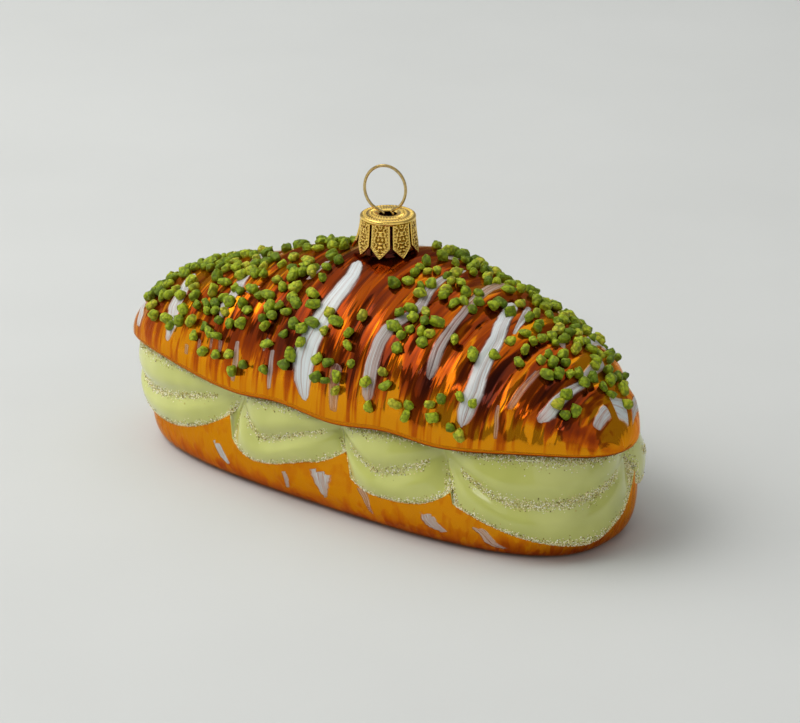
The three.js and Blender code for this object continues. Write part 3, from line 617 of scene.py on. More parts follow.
# Cream on the body: opaque pale pistachio enamel on the moulded shells, with a soft gloss. The glue for the
# glitter is a little darker and lies along the rim, along each shell's crease and along the base.
ENAMEL, ENAMEL_SHADE = (0.56, 0.585, 0.13, 1), (0.475, 0.50, 0.09, 1)
GLITTER_GLUE = (0.42, 0.38, 0.13, 1)
RIM_GLUE, CREASE_GLUE, BASE_GLUE, CREASE_GLUE_SHARE = 0.14, 0.12, 0.12, 0.7
GLUE_HEAD, GLUE_HEAD_FADE, GLUE_TAIL, GLUE_TAIL_FADE = 0.06, 0.1, 0.9, 0.12
SPECKLE_SWING, DUST_EDGE, DUST_SHARE, CLOUDS = 1.4, (0.3, 0.8), 0.5, (0.3, 0.7)
RIPPLE_RELIEF, DUST_RELIEF = 0.5, 0.7


def unevenness_group():
    """A node group for slightly uneven surfaces: noise from 0 to 1 that is alike in all directions over a
    piece, at a fineness per metre."""
    group = bpy.data.node_groups.new("unevenness", "ShaderNodeTree")
    for name in ("Fineness", "Detail"):
        group.interface.new_socket(name, in_out="INPUT", socket_type="NodeSocketFloat")
    group.interface.new_socket("Height", in_out="OUTPUT", socket_type="NodeSocketFloat")
    given = add_node("NodeGroupInput", {}, group).outputs
    spot = add_node("ShaderNodeTexCoord", {}, group).outputs["Object"]
    inputs = {"Vector": spot, "Scale": given["Fineness"], "Detail": given["Detail"]}
    height = add_node("ShaderNodeTexNoise", inputs).outputs[0]
    add_node("NodeGroupOutput", {"Height": height}, group)
    return group


def uneven(tree, fineness, detail):
    """The height that the shared group of unevenness gives."""
    inputs = {"Fineness": fineness, "Detail": detail}
    return add_node("ShaderNodeGroup", inputs, tree, node_tree=unevenness).outputs["Height"]


unevenness = unevenness_group()
glue = np.zeros(len(body_points))
_, shell_within = shell_at(round_turn)
head_fade = np.clip((shell_within - GLUE_HEAD) / GLUE_HEAD_FADE, 0, 1)
tail_fade = np.clip((GLUE_TAIL - shell_within) / GLUE_TAIL_FADE, 0, 1)
glue_lines = bell(cream_level, CREASE_GLUE) * head_fade * tail_fade * CREASE_GLUE_SHARE
glue_lines = np.maximum(glue_lines, bell(1 - cream_level, RIM_GLUE))
glue_lines = np.maximum(glue_lines, bell(1 + cream_level, BASE_GLUE))
glue[ring_index[base_end:cream_end].ravel()] = glue_lines.ravel()
add_attribute(body, "glue", glue)

tree, shader = new_material(body, "pistachio_enamel")
cloud = uneven(tree, fineness=130, detail=2)
speckle = uneven(tree, fineness=3800, detail=1)
ripple = uneven(tree, fineness=260, detail=2)
dusted = eased(swung(speckle, SPECKLE_SWING, read(tree, "glue")), *DUST_EDGE)
cream_colour = mixed(eased(cloud, *CLOUDS), ENAMEL, ENAMEL_SHADE)
relief = times(ripple, RIPPLE_RELIEF)
relief = times(times(speckle, dusted), DUST_RELIEF, relief)
join(
    shader,
    Base_Color=mixed(times(dusted, DUST_SHARE), cream_colour, GLITTER_GLUE),
    Roughness=times(dusted, 0.25, 0.32),
    Coat_Weight=1.0,
    Coat_Roughness=0.1,
    Coat_IOR=1.65,
    Normal=bumped(relief, strength=0.4, distance=0.0002),
)
body.data.polygons.foreach_set(
    "material_index", (np.arange(len(body.data.polygons)) < cream_face_count).astype(np.int32)
)

# Crumbs: small bits of chopped pistachio, glued on while the lacquer was wet. They lie thickest along the
# ridge and in loose patches down the sides; the largest ones are in the solid too, at the same places.
CRUMB_SCATTER, CRUMB_SIZE, CRUMB_SPREAD, CRUMB_TRIES = 430, (1.6, 2.2), 0.44, 20000
CRUMB_SEED, NUT_SEED, SPIN_REFERENCE = 20, 7, (0.0, 0.3, 1.0)
CRUMB_PATCHES = np.array([  # along X, lift in degrees, half length, half spread of lift, fullness
    (-42, 62, 5, 15, 0.7), (-37, 47, 6, 11, 0.8), (-32, 68, 7, 15, 0.6), (-24, 42, 12, 14, 1.0),
    (-10, 41, 10, 13, 1.0), (-27, 90, 8, 12, 0.55), (-14, 99, 9, 11, 1.0), (-13, 57, 6, 6, 0.5),
    (2, 42, 9, 8, 0.8), (-5, 74, 4, 4, 0.4), (7, 77, 5, 8, 0.9), (18, 78, 4, 8, 0.85),
    (17, 50, 4, 13, 0.9), (12, 112, 10, 12, 0.8), (24, 56, 2.5, 6, 0.6), (28, 54, 2, 7, 0.8),
    (36, 76, 6, 14, 0.95), (28, 112, 12, 12, 0.8), (42, 56, 2.5, 12, 0.7), (40, 102, 5, 14, 0.9),
    (22, 22, 10, 15, 0.5), (6, 24, 6, 10, 0.4), (-12, 22, 12, 10, 0.35), (-31, 27, 6, 6, 0.6),
])
CRUMB_CLEAR_OF_NECK, CRUMB_REACH, CRUMB_NORMAL_STEP = 7.8, (-45.5, 47.5), 0.02
DRAW_FACTOR, DRAW_PRIME = 16807, 2147483647
CRUMB_AROUND, CRUMB_BELTS, CRUMB_ROUNDING, CRUMB_TOP_ROUNDING = 9, 6, 0.8, 0.85
LUMP_SIZE, LUMP_SPREAD, LOBES_ROUND, LOBES_SLANT, LOBES_UP = 0.98, 0.06, 0.12, 0.09, 0.08
CRUMB_CUTS, CUT_DISTANCE, CRUMB_SHARP = 3, (0.6, 0.85), np.radians(58)
CRUMB_STRETCH, CRUMB_TILT, CRUMB_LIFT = ((0.50, 0.40, 0.38), (0.66, 0.50, 0.48)), 0.28, 0.28
NUT_GREENS = (
    (0.0, (0.12, 0.19, 0.004, 1)), (0.4, (0.27, 0.36, 0.008, 1)), (0.8, (0.42, 0.50, 0.018, 1)),
    (1.0, (0.50, 0.47, 0.03, 1)),
)
# The darker crevice colour is painted shade, laid into the sunken edges of the grain.
NUT_SKIN, NUT_CREVICE_SHADE = (0.12, 0.06, 0.006, 1), (0.06, 0.08, 0.002, 1)
MOTTLE_SWING, SKIN_PATCHES, SKIN_SHARE, CREVICE_SHADE_RANGE, CREVICE_SHADE_SHARE = 1.2, (0.64, 0.72), 0.5, (0.38, 0.75), 0.6
NUT_GRAIN_FINENESS, MOTTLE_RELIEF, GRAIN_RELIEF = 1500, 1.3, -0.45


def crumb_chance(x, lift):
    """How likely a crumb is at a place: the fullest of the patches there, each a flat-topped bell over an
    ellipse, with the same patches on the far side, half a turn round."""
    at, level, length, spread, full = CRUMB_PATCHES.T
    near = ((x[:, None] - at) / length) ** 2 + ((np.degrees(lift)[:, None] - level) / spread) ** 2
    far = ((x[:, None] + at) / length) ** 2 + ((180 - np.degrees(lift)[:, None] - level) / spread) ** 2
    return (full * np.exp(-(np.minimum(near, far) ** 2))).max(1)


def crumb_places():
    """Seeded places, sizes, spins and normals for the crumbs, largest first: random places over the crust,
    kept by chance and where they are clear of the neck, the tips and the crumbs before them."""
    state, drawn = CRUMB_SEED, []
    for _ in range(5 * CRUMB_TRIES):
        state = state * DRAW_FACTOR % DRAW_PRIME
        drawn.append(state / DRAW_PRIME)
    part = np.array(drawn).reshape(-1, 5)
    turn, lift = np.pi * part[:, 0], np.pi * part[:, 1]
    size, spin = between(*CRUMB_SIZE, part[:, 3]), 2 * np.pi * part[:, 4]
    at = crust(turn, lift)
    kept = part[:, 2] <= crumb_chance(at[:, 0], lift) * np.sin(turn)
    kept &= np.hypot(at[:, 0], at[:, 1]) >= CRUMB_CLEAR_OF_NECK
    kept &= (at[:, 0] >= CRUMB_REACH[0]) & (at[:, 0] <= CRUMB_REACH[1])
    chosen = []
    for k in np.flatnonzero(kept):
        apart = np.linalg.norm(at[chosen] - at[k], axis=1)
        if not (apart < CRUMB_SPREAD * (size[chosen] + size[k])).any():
            chosen.append(k)
        if len(chosen) == CRUMB_SCATTER:
            break
    chosen = np.array(chosen)[np.argsort(-size[chosen], kind="stable")]
    turn, lift = turn[chosen], lift[chosen]
    step = CRUMB_NORMAL_STEP
    up_slope = crust(turn, lift + step) - crust(turn, lift - step)
    along_slope = crust(turn + step, lift) - crust(turn - step, lift)
    return at[chosen], size[chosen], spin[chosen], unit(np.cross(up_slope, along_slope))


crumb_at, crumb_size, crumb_spin, crumb_normal = crumb_places()
chance = np.random.default_rng(NUT_SEED)
crumbs = len(crumb_at)
belt = np.linspace(-np.pi / 2, np.pi / 2, CRUMB_BELTS + 1)[1:-1]
belt_grid, around_grid = (a.ravel() for a in np.meshgrid(belt, full_turn(CRUMB_AROUND), indexing="ij"))
latitude, longitude = np.append(belt_grid, (-np.pi / 2, np.pi / 2)), np.append(around_grid, (0, 0))
lobes = chance.uniform(0, 2 * np.pi, (4, crumbs, 1))
lobed = LOBES_ROUND * np.sin(2 * longitude + lobes[0])
lobed = lobed + LOBES_SLANT * np.sin(3 * longitude + 2 * latitude + lobes[1])
lumps = chance.normal(LUMP_SIZE, LUMP_SPREAD, (crumbs, len(latitude))) + np.cos(latitude) * lobed
lumps = lumps + LOBES_UP * np.sin(3 * latitude + lobes[2])
belt_radius = signed_power(np.cos(latitude), CRUMB_ROUNDING)
ball = np.stack([
    signed_power(np.cos(longitude), CRUMB_ROUNDING) * belt_radius,
    signed_power(np.sin(longitude), CRUMB_ROUNDING) * belt_radius,
    signed_power(np.sin(latitude), CRUMB_TOP_ROUNDING),
], -1)
chopped = ball * lumps[..., None]
for cut in unit(chance.normal(size=(CRUMB_CUTS, crumbs, 3))):
    beyond = np.einsum("cpk,ck->cp", chopped, cut) - chance.uniform(*CUT_DISTANCE, (crumbs, 1))
    chopped -= np.maximum(0, beyond)[..., None] * cut[:, None]
pebbles = chopped * (chance.uniform(*CRUMB_STRETCH, (crumbs, 3)) * crumb_size[:, None])[:, None]
side_on = unit(np.cross(crumb_normal, SPIN_REFERENCE))
tilt = chance.normal(0, CRUMB_TILT, (crumbs, 1))
first = np.cos(crumb_spin)[:, None] * side_on + np.sin(crumb_spin)[:, None] * np.cross(crumb_normal, side_on)
first = np.cos(tilt) * first + np.sin(tilt) * crumb_normal
second = unit(np.cross(crumb_normal, first))
third = np.cross(first, second)
turned = np.einsum("cpk,ckx->cpx", pebbles, np.stack([first, second, third], 1))
crumb_points = crumb_at[:, None] + crumb_normal[:, None] * (CRUMB_LIFT * crumb_size)[:, None, None] + turned
per_crumb = len(latitude)
crumb_grid = np.arange(len(belt) * CRUMB_AROUND).reshape(len(belt), -1)
one_crumb = [
    grid_faces(crumb_grid, True),
    fan_faces(crumb_grid[0, ::-1], per_crumb - 2),
    fan_faces(crumb_grid[-1], per_crumb - 1),
]
crumb_first = per_crumb * np.arange(crumbs)[:, None, None]
crumb_faces = [(faces + crumb_first).reshape(-1, faces.shape[1]) for faces in one_crumb]
nuts = add_piece("pistachio_crumbs", crumb_points.reshape(-1, 3), crumb_faces)
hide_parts("glass_body")
nuts.data.set_sharp_from_angle(angle=CRUMB_SHARP)
add_attribute(nuts, "ripeness", np.repeat(chance.uniform(0, 1, crumbs), per_crumb))

tree, shader = new_material(nuts, "chopped_pistachio")
spot = add_node("ShaderNodeTexCoord", {}, tree).outputs["Object"]
mottle = uneven(tree, fineness=1300, detail=3)
grain = add_node("ShaderNodeTexVoronoi", {"Vector": spot, "Scale": NUT_GRAIN_FINENESS}).outputs["Distance"]
green = colour_ramp(swung(mottle, MOTTLE_SWING, read(tree, "ripeness")), NUT_GREENS)
skin = times(eased(mottle, *SKIN_PATCHES), SKIN_SHARE)
# Painted shade in the sunken edges of the grain, where the bump is lowest.
crevice_shade = times(eased(grain, *CREVICE_SHADE_RANGE), CREVICE_SHADE_SHARE)
relief = times(grain, GRAIN_RELIEF, times(mottle, MOTTLE_RELIEF))
join(
    shader,
    Base_Color=mixed(crevice_shade, mixed(skin, green, NUT_SKIN), NUT_CREVICE_SHADE),
    Roughness=times(mottle, 0.25, 0.4),
    Specular_IOR_Level=0.25,
    Normal=bumped(relief, strength=0.9, distance=0.0004),
)

# Glitter: grains of champagne and silver sand, strewn on lines of glue along the rim's groove, the crease of
# each shell and the edge of the base, and thickest in the joints between the shells.
GRAIN_SIZE, GRAIN_FORM, SAND_SEED = (0.10, 0.20), ((0.8, 0.8, 0.35), (1.1, 1.1, 0.7)), 11
RIM_GRAINS, CREASE_GRAINS, BASE_GRAINS, JOINT_GRAINS, JOINT_POOL = 8500, 7000, 7000, 2600, 12
RIM_LEVEL, EDGE_SPREAD, CREASE_SPREAD, JOINT_SPREAD, LEVEL_LIMIT = 0.98, 0.1, 0.075, 0.35, 0.995
CREASE_FROM, CREASE_TO, JOINT_REACH = 0.1, 0.86, 0.055
SAND_TONES = (
    (0.0, (0.12, 0.09, 0.01, 1)), (0.25, (0.54, 0.43, 0.10, 1)), (0.5, (0.96, 0.89, 0.50, 1)),
    (1.0, (1.0, 1.0, 0.90, 1)),
)
scatter = np.random.default_rng(SAND_SEED)
rim_turn = scatter.uniform(0, 2 * np.pi, RIM_GRAINS)
rim_level = RIM_LEVEL - np.abs(scatter.normal(0, EDGE_SPREAD, RIM_GRAINS))
crease_turn = scatter.uniform(0, 2 * np.pi, CREASE_GRAINS)
crease_level = scatter.normal(0, CREASE_SPREAD, CREASE_GRAINS)
_, crease_within = shell_at(crease_turn)
on_crease = (crease_within > CREASE_FROM) & (crease_within < CREASE_TO)
base_turn = scatter.uniform(0, 2 * np.pi, BASE_GRAINS)
base_level = -1 + np.abs(scatter.normal(0, EDGE_SPREAD, BASE_GRAINS))
joint_pool = scatter.uniform(0, 2 * np.pi, JOINT_POOL * JOINT_GRAINS)
_, joint_within = shell_at(joint_pool)
joint_turn = joint_pool[np.minimum(joint_within, 1 - joint_within) < JOINT_REACH][:JOINT_GRAINS]
joint_level = -1 + np.abs(scatter.normal(0, JOINT_SPREAD, len(joint_turn)))
grain_turn = np.concatenate([rim_turn, crease_turn[on_crease], base_turn, joint_turn])
grain_level = np.concatenate([rim_level, crease_level[on_crease], base_level, joint_level])
grain_at = cream(grain_turn, np.clip(grain_level, -LEVEL_LIMIT, LEVEL_LIMIT))
grains = len(grain_at)
octahedron = np.array([(1, 0, 0), (0, 1, 0), (-1, 0, 0), (0, -1, 0), (0, 0, 1), (0, 0, -1)])
upper_faces = [(0, 1, 4), (1, 2, 4), (2, 3, 4), (3, 0, 4)]
lower_faces = [(1, 0, 5), (2, 1, 5), (3, 2, 5), (0, 3, 5)]
axes = scatter.normal(size=(grains, 3, 3))
axes[:, 0] = unit(axes[:, 0])
axes[:, 1] = unit(np.cross(axes[:, 0], axes[:, 1]))
axes[:, 2] = np.cross(axes[:, 0], axes[:, 1])
grain_half = scatter.uniform(*GRAIN_SIZE, (grains, 1)) * scatter.uniform(*GRAIN_FORM, (grains, 3))
grain_points = grain_at[:, None] + np.einsum("pk,gk,gkx->gpx", octahedron, grain_half, axes)
grain_first = len(octahedron) * np.arange(grains)[:, None, None]
grain_faces = (np.array(upper_faces + lower_faces) + grain_first).reshape(-1, 3)
glitter = add_piece("glitter_grains", grain_points.reshape(-1, 3), [grain_faces])
glitter.data.polygons.foreach_set("use_smooth", np.zeros(len(glitter.data.polygons), bool))
add_attribute(glitter, "sand", np.repeat(scatter.uniform(0, 1, grains), len(octahedron)))

tree, shader = new_material(glitter, "champagne_glitter")
tone = read(tree, "sand")
join(shader, Base_Color=colour_ramp(tone, SAND_TONES), Roughness=times(tone, -0.1, 0.22))

# Cap: a cup of thin gold-coloured brass, pressed with a pattern of small leaves and beads and cut into
# eight pointed petals that grip the glass neck. Its dished top has a round hole, and its shoulder is rolled
# smooth.
CAP_THICKNESS, CAP_HOLE_RADIUS, CAP_FLAT_FROM = 0.45, 1.5, 45.8
INNER_BEADS, OUTER_BEADS = (2.65, 0.35, 36), (3.9, 0.25, 48)  # radius, width and number
INNER_BEAD_HEIGHT, OUTER_BEAD_HEIGHT, TOP_GROOVE, SHOULDER_STEPS = 0.11, 0.08, (3.45, 0.15), 64
PETAL_COUNT, PETAL_ROOT_RADIUS, PETAL_FLARE, PETAL_TIP_RADIUS, PETAL_TIP_HEIGHT = 8, 4.49, 0.25, 5.1, 39.7
PETAL_SLOT_WIDTH, PETAL_SLOT_TOP, PETAL_OVERLAP, PETAL_TURN = 0.5, 45.2, 0.3, np.radians(-45)
POINT_LENGTH, POINT_POWER, POINT_HALF_WIDTH, POINT_SLANT, POINT_STRETCH = 1.7, 0.9, 0.06, 0.73, 1.37
BENT_PETAL, BENT_PETAL_OUT = 5, 1.1
LEAF_PITCH, LEAF_HEIGHT, LEAF_WAVES, LEAF_FROM, LEAF_FADE, LEAF_SEED = 0.6, 0.07, 14, 0.5, 0.1, 5
LEAF_LIMITS = (-1, 1.4)
BORDER_HEIGHT, BORDER, BEAD_ROW, BEAD_PITCH, EMBOSS_DROP = 0.12, (0.08, 0.1), (0.36, 0.11), 0.5, 0.04
CAP_SIDES, PETAL_ACROSS, PETAL_INSIDE, PETAL_ALONG = 288, 48, 8, 84
# The darker gold is painted shade for the recesses and the insides of the petals; the brighter gold on what
# stands up is a painted highlight.
GOLD, GOLD_RECESS_SHADE = (1.0, 0.68, 0.17, 1), (0.34, 0.17, 0.015, 1)
TOP_SHINE, BEAD_SHINE, GROOVE_SHADE, RECESS_DEPTH, RECESS_RANGE = 0.75, 0.45, 0.5, 0.07, 0.13
TARNISH_SWING, BRIGHT_EDGE = 0.5, (0.05, 0.6)


def rounded_path(corners, steps):
    """A smooth path through corner points, sampled evenly between corners: a cubic from each corner to the
    next, which at a corner heads along the line between its two neighbours."""
    corners = np.asarray(corners, float)
    padded = np.concatenate([2 * corners[:1] - corners[1:2], corners, 2 * corners[-1:] - corners[-2:-1]])
    t = np.linspace(0, len(corners) - 1, steps)
    k = np.minimum(t.astype(int), len(corners) - 2)
    f = (t - k)[:, None]
    a, b, c, d = (padded[k + n] for n in range(4))
    curve = 2 * b + (c - a) * f + (2 * a - 5 * b + 4 * c - d) * f ** 2
    return 0.5 * (curve + (3 * b - a - 3 * c + d) * f ** 3)


shoulder = rounded_path([
    (4.5, PETAL_SLOT_TOP), (4.54, 45.34), (4.62, 45.5), (4.58, 45.76), (4.38, 45.98), (4.0, 46.08),
    (3.7, 46.0), (3.4, 46.03), (2.95, 46.15), (2.4, 46.18), (1.95, 46.15), (1.65, 46.06),
    (CAP_HOLE_RADIUS, 45.92), (CAP_HOLE_RADIUS, 45.78),
], SHOULDER_STEPS)
underside = np.array([(1.7, 45.68), (3.8, 45.64), (4.05, 45.35), (4.08, PETAL_SLOT_TOP)])
cap_profile = np.concatenate([shoulder, underside])
cap_turn = full_turn(CAP_SIDES)
cap_radius = cap_profile[:, :1] + 0 * cap_turn
on_top = cap_profile[:, 1:] > CAP_FLAT_FROM
inner_beads, outer_beads = (
    bell(cap_profile[:, :1] - radius, width) * on_top * np.cos(number * cap_turn)
    for radius, width, number in (INNER_BEADS, OUTER_BEADS)
)
cap_height = cap_profile[:, 1:] + INNER_BEAD_HEIGHT * inner_beads + OUTER_BEAD_HEIGHT * outer_beads
cap_rows = lathe(cap_radius, cap_height, cap_turn)
cap_index = numbered(cap_rows)
cap_count = cap_index.size
cap_index = np.concatenate([cap_index, cap_index[:1]])

petal_top = PETAL_SLOT_TOP + PETAL_OVERLAP
petal_height = np.linspace(petal_top, PETAL_TIP_HEIGHT, PETAL_ALONG)[:, None]
way_down = (petal_top - petal_height) / (petal_top - PETAL_TIP_HEIGHT)
curl = PETAL_TIP_RADIUS - PETAL_ROOT_RADIUS - PETAL_FLARE
petal_radius = PETAL_ROOT_RADIUS + PETAL_FLARE * way_down + curl * way_down ** 2
half_pitch = np.pi / PETAL_COUNT * petal_radius - PETAL_SLOT_WIDTH / 2
point_share = np.clip((petal_height - PETAL_TIP_HEIGHT) / POINT_LENGTH, 0, 1)
petal_half = np.maximum(POINT_HALF_WIDTH, half_pitch * point_share ** POINT_POWER)
outer_across = np.linspace(-1, 1, PETAL_ACROSS)
inner_across = np.linspace(1, -1, PETAL_INSIDE)
in_point = point_share < 1
edge_distance = petal_half * (1 - np.abs(outer_across)) * np.where(in_point, POINT_SLANT, 1)
edge_way = petal_height * np.where(in_point, POINT_STRETCH, 1)
wave_draw = np.random.default_rng(LEAF_SEED)
wave_heading, wave_phase = wave_draw.uniform(0, 2 * np.pi, (2, LEAF_WAVES))
from_middle, petal_level = np.broadcast_arrays(petal_half * np.abs(outer_across), petal_height)
ripples = from_middle[..., None] * np.cos(wave_heading) + petal_level[..., None] * np.sin(wave_heading)
leaves = np.cos(2 * np.pi / LEAF_PITCH * ripples + wave_phase).sum(-1) / np.sqrt(LEAF_WAVES / 2)
field = np.clip((edge_distance - LEAF_FROM) / LEAF_FADE, 0, 1)
border, bead_row = (bell(edge_distance - middle, width) for middle, width in (BORDER, BEAD_ROW))
bead_row = bead_row * (0.5 + 0.5 * np.cos(2 * np.pi * edge_way / BEAD_PITCH))
leafage = LEAF_HEIGHT * field * np.clip(leaves, *LEAF_LIMITS)
emboss = leafage + BORDER_HEIGHT * (border + bead_row) - EMBOSS_DROP
outer_radius = petal_radius + emboss * np.clip((petal_top - petal_height) / PETAL_OVERLAP, 0, 1)
inner_radius = petal_radius - CAP_THICKNESS + 0 * inner_across
petal_angle = np.concatenate([petal_half * outer_across, petal_half * inner_across], 1) / petal_radius
petal_number = np.arange(PETAL_COUNT)[:, None, None]
petal_loop_radius = np.concatenate([outer_radius, inner_radius], 1)
petal_loop_radius = petal_loop_radius + BENT_PETAL_OUT * way_down ** 2 * (petal_number == BENT_PETAL)
petal_middle = PETAL_TURN + np.pi / PETAL_COUNT * (1 + 2 * petal_number)
petals = lathe(petal_loop_radius, petal_height, petal_middle + petal_angle)
petal_grid = numbered(petals, cap_count)
petal_ends = petals[:, (0, -1)].mean(2).reshape(-1, 3)
end_first = cap_count + petal_grid.size
cap_points = np.concatenate([cap_rows.reshape(-1, 3), petals.reshape(-1, 3), petal_ends])
cap_faces = [grid_faces(cap_index, True)]
for k in range(PETAL_COUNT):
    cap_faces += [
        grid_faces(petal_grid[k, :, ::-1], True),
        fan_faces(petal_grid[k, 0], end_first + 2 * k),
        fan_faces(petal_grid[k, -1, ::-1], end_first + 2 * k + 1),
    ]
cap = add_piece("pressed_cap", cap_points, cap_faces)
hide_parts("hanger_cap")
# Painted light on the cap: a share from dark to bright gold. It is high on the top and on the beads as
# painted highlights, and low in the groove, in the recesses and inside the petals as painted shade.
raised_shine = np.zeros(len(cap_points))
groove = bell(cap_radius - TOP_GROOVE[0], TOP_GROOVE[1]) * on_top
bead_share = TOP_SHINE + BEAD_SHINE * (inner_beads + outer_beads) - GROOVE_SHADE * groove
raised_shine[:cap_count] = np.clip(bead_share, 0, 1).ravel()
petal_shine = np.clip((emboss + RECESS_DEPTH) / RECESS_RANGE, 0, 1)
petal_shine_share = np.concatenate([petal_shine, np.zeros((PETAL_ALONG, PETAL_INSIDE))], 1)
raised_shine[cap_count:end_first] = np.tile(petal_shine_share.ravel(), PETAL_COUNT)
add_attribute(cap, "raised_shine", raised_shine)

tree, shader = new_material(cap, "pressed_gold_brass")
tarnish = uneven(tree, fineness=700, detail=3)
scuffs = uneven(tree, fineness=5200, detail=2)
# The mix from dark to bright gold: the painted highlights and shade, varied by tarnish.
shine_and_tarnish = eased(swung(tarnish, TARNISH_SWING, read(tree, "raised_shine")), *BRIGHT_EDGE)
join(
    shader,
    Base_Color=mixed(shine_and_tarnish, GOLD_RECESS_SHADE, GOLD),
    Metallic=1.0,
    Roughness=times(scuffs, 0.12, 0.16),
    Normal=bumped(scuffs, strength=0.25, distance=0.0001),
)

# Ring: one length of springy gold-coloured wire, bent into a loop. Its two legs go through the hole of the
# cap and spring apart inside the neck, which holds ring and cap on.
WIRE_RADIUS, RING_HALF_WIDTH, RING_HALF_HEIGHT = 0.25, 3.5, 3.92
RING_CENTRE_HEIGHT, RING_SHIFT, RING_TURN = 50.18, -0.5, np.radians(21)
RING_LEG_SPREAD, RING_LEG_FOOT, RING_GAP = 1.9, 41.6, np.radians(20)
RING_HOLE_SPREAD, RING_HOLE_HEIGHT, RING_LEG_BEND, RING_LEG_BEND_SPREAD = 0.8, 45.9, 0.6, 1.1
WIRE_STEPS, WIRE_SIDES, LOOP_POINTS = 260, 14, 15
BRIGHT_GOLD, DULL_GOLD, DULL_LINES = (0.70, 0.53, 0.23, 1), (0.52, 0.36, 0.13, 1), (0.3, 0.7)
ring_turn = between(RING_GAP, 2 * np.pi - RING_GAP, np.linspace(0, 1, LOOP_POINTS)) - np.pi / 2
ring_loop = np.stack([
    RING_SHIFT + RING_HALF_WIDTH * np.cos(ring_turn),
    RING_CENTRE_HEIGHT + RING_HALF_HEIGHT * np.sin(ring_turn),
], -1)
leg = np.array([
    (RING_LEG_SPREAD, RING_LEG_FOOT),
    (RING_LEG_BEND_SPREAD, between(RING_LEG_FOOT, NECK_TOP, RING_LEG_BEND)),
    (RING_HOLE_SPREAD, RING_HOLE_HEIGHT),
])
wire_path = rounded_path(np.concatenate([leg, ring_loop, (leg * [-1, 1])[::-1]]), WIRE_STEPS)
heading = unit(np.gradient(wire_path, axis=0))
wire_round = full_turn(WIRE_SIDES)
ring_along = np.array([np.cos(RING_TURN), np.sin(RING_TURN), 0])
ring_across = np.array([-np.sin(RING_TURN), np.cos(RING_TURN), 0])
inward = heading[:, :1] * [(0, 0, 1)] - heading[:, 1:] * ring_along
wire_middle = wire_path[:, :1] * ring_along + wire_path[:, 1:] * [(0, 0, 1)]
wire_rows = wire_middle[:, None] + WIRE_RADIUS * (
    np.cos(wire_round)[:, None] * inward[:, None] + np.sin(wire_round)[:, None] * ring_across
)
wire_index = numbered(wire_rows)
wire_points = np.concatenate([wire_rows.reshape(-1, 3), wire_middle[[0, -1]]])
wire_faces = [
    grid_faces(wire_index, True),
    fan_faces(wire_index[0, ::-1], wire_index.size),
    fan_faces(wire_index[-1], wire_index.size + 1),
]
ring = add_piece("hanging_ring", wire_points, wire_faces)
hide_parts("hanger_ring")

tree, shader = new_material(ring, "bright_gold_wire")
drawn_lines = uneven(tree, fineness=2400, detail=2)
join(
    shader,
    Base_Color=mixed(eased(drawn_lines, *DULL_LINES), BRIGHT_GOLD, DULL_GOLD),
    Metallic=1.0,
    Roughness=times(drawn_lines, 0.12, 0.16),
    Normal=bumped(drawn_lines, strength=0.15, distance=0.00005),
)

# Table top: a plain pale surface that the ornament stands on, with the camera at the photograph's angle and
# soft daylight from the left, as in a room with one large window. None of it belongs to the ornament.
TABLE_HALF_SIDE = 1.5
PALE, PALEST = (0.57, 0.58, 0.565, 1), (0.64, 0.65, 0.635, 1)
floor_mesh = bpy.data.meshes.new("pale_table")
floor_corners = TABLE_HALF_SIDE * np.array([(-1, -1, 0), (1, -1, 0), (1, 1, 0), (-1, 1, 0)])
floor_mesh.from_pydata(floor_corners.tolist(), [], [(0, 1, 2, 3)])
floor = bpy.data.objects.new("pale_table", floor_mesh)
bpy.context.scene.collection.objects.link(floor)
tree, shader = new_material(floor, "pale_table_top")
cloudy = uneven(tree, fineness=14, detail=3)
join(shader, Base_Color=mixed(cloudy, PALE, PALEST), Roughness=0.85)

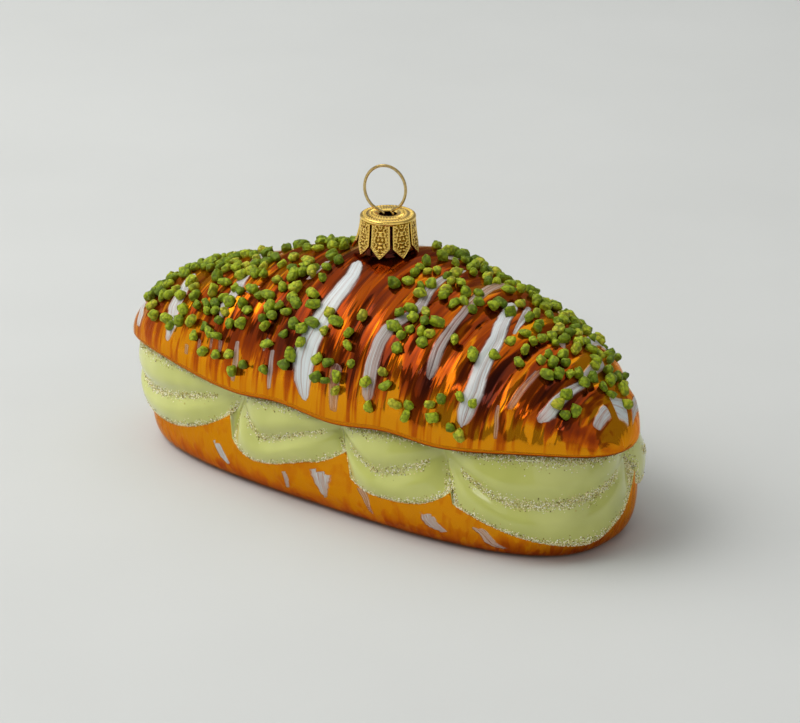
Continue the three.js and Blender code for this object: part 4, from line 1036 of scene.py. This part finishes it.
CAMERA_TURN, CAMERA_RISE, CAMERA_DISTANCE, CAMERA_LENS = np.radians(38.18), np.radians(21.02), 0.5699, 154.9
SENSOR_WIDTH, CLIP_START, CLIP_END = 36, 0.01, 20
AIM, AIM_RIGHT, AIM_UP = Vector((0, 0, 0.022)), 0.001955, -0.001777
to_camera = Vector((
    np.sin(CAMERA_TURN) * np.cos(CAMERA_RISE),
    -np.cos(CAMERA_TURN) * np.cos(CAMERA_RISE),
    np.sin(CAMERA_RISE),
))
rightward = Vector((np.cos(CAMERA_TURN), np.sin(CAMERA_TURN), 0))
upward = to_camera.cross(rightward)
camera = bpy.data.objects.new("camera", bpy.data.cameras.new("camera"))
camera.data.sensor_width, camera.data.lens = SENSOR_WIDTH, CAMERA_LENS
camera.data.clip_start, camera.data.clip_end = CLIP_START, CLIP_END
camera.location = AIM + rightward * AIM_RIGHT + upward * AIM_UP + to_camera * CAMERA_DISTANCE
camera.rotation_mode = "QUATERNION"
camera.rotation_quaternion = (-to_camera).to_track_quat("-Z", "Y")
bpy.context.scene.collection.objects.link(camera)
bpy.context.scene.camera = camera

ROOM_LIGHT, ROOM_STRENGTH = (0.80, 0.82, 0.82, 1), 0.3
LAMPS = (  # name, place to the right, up and nearer, width, height, watts, colour, seen in the gloss
    ("daylight", (-0.47, 0.55, -0.08), 0.7, 0.7, 3.7, (1.0, 0.99, 0.97), False),
    ("white_wall", (-0.92, 0.2, -0.08), 1.6, 0.6, 1.55, (1.0, 0.99, 0.97), True),
    ("window", (-0.55, 0.8, 0.1), 1.0, 0.4, 2.2, (1.0, 0.98, 0.95), True),
    ("ceiling", (-0.1, 1.1, -0.5), 1.8, 1.4, 5.6, (0.97, 0.99, 1.0), True),
    ("room", (0.45, 0.32, 0.8), 1.2, 0.8, 1.4, (1.0, 0.97, 0.93), True),
    ("roof_window", (-0.12, 0.75, 0.75), 0.3, 0.1, 0.3, (1.0, 0.98, 0.95), True),
)
level_back = Vector((np.sin(CAMERA_TURN), -np.cos(CAMERA_TURN), 0))
for name, (right, up, near), width, height, watts, light, in_gloss in LAMPS:
    lamp = bpy.data.objects.new(name, bpy.data.lights.new(name, "AREA"))
    lamp.data.shape, lamp.data.size, lamp.data.size_y = "RECTANGLE", width, height
    lamp.data.energy, lamp.data.color, lamp.visible_glossy = watts, light, in_gloss
    lamp.location = AIM + rightward * right + Vector((0, 0, up)) + level_back * near
    lamp.rotation_mode = "QUATERNION"
    lamp.rotation_quaternion = (AIM - lamp.location).to_track_quat("-Z", "Y")
    bpy.context.scene.collection.objects.link(lamp)
world = bpy.data.worlds.new("soft_room")
world.use_nodes = True
join(world.node_tree.nodes["Background"], Color=ROOM_LIGHT, Strength=ROOM_STRENGTH)
bpy.context.scene.world = world
bpy.context.scene.view_settings.view_transform = "Standard"
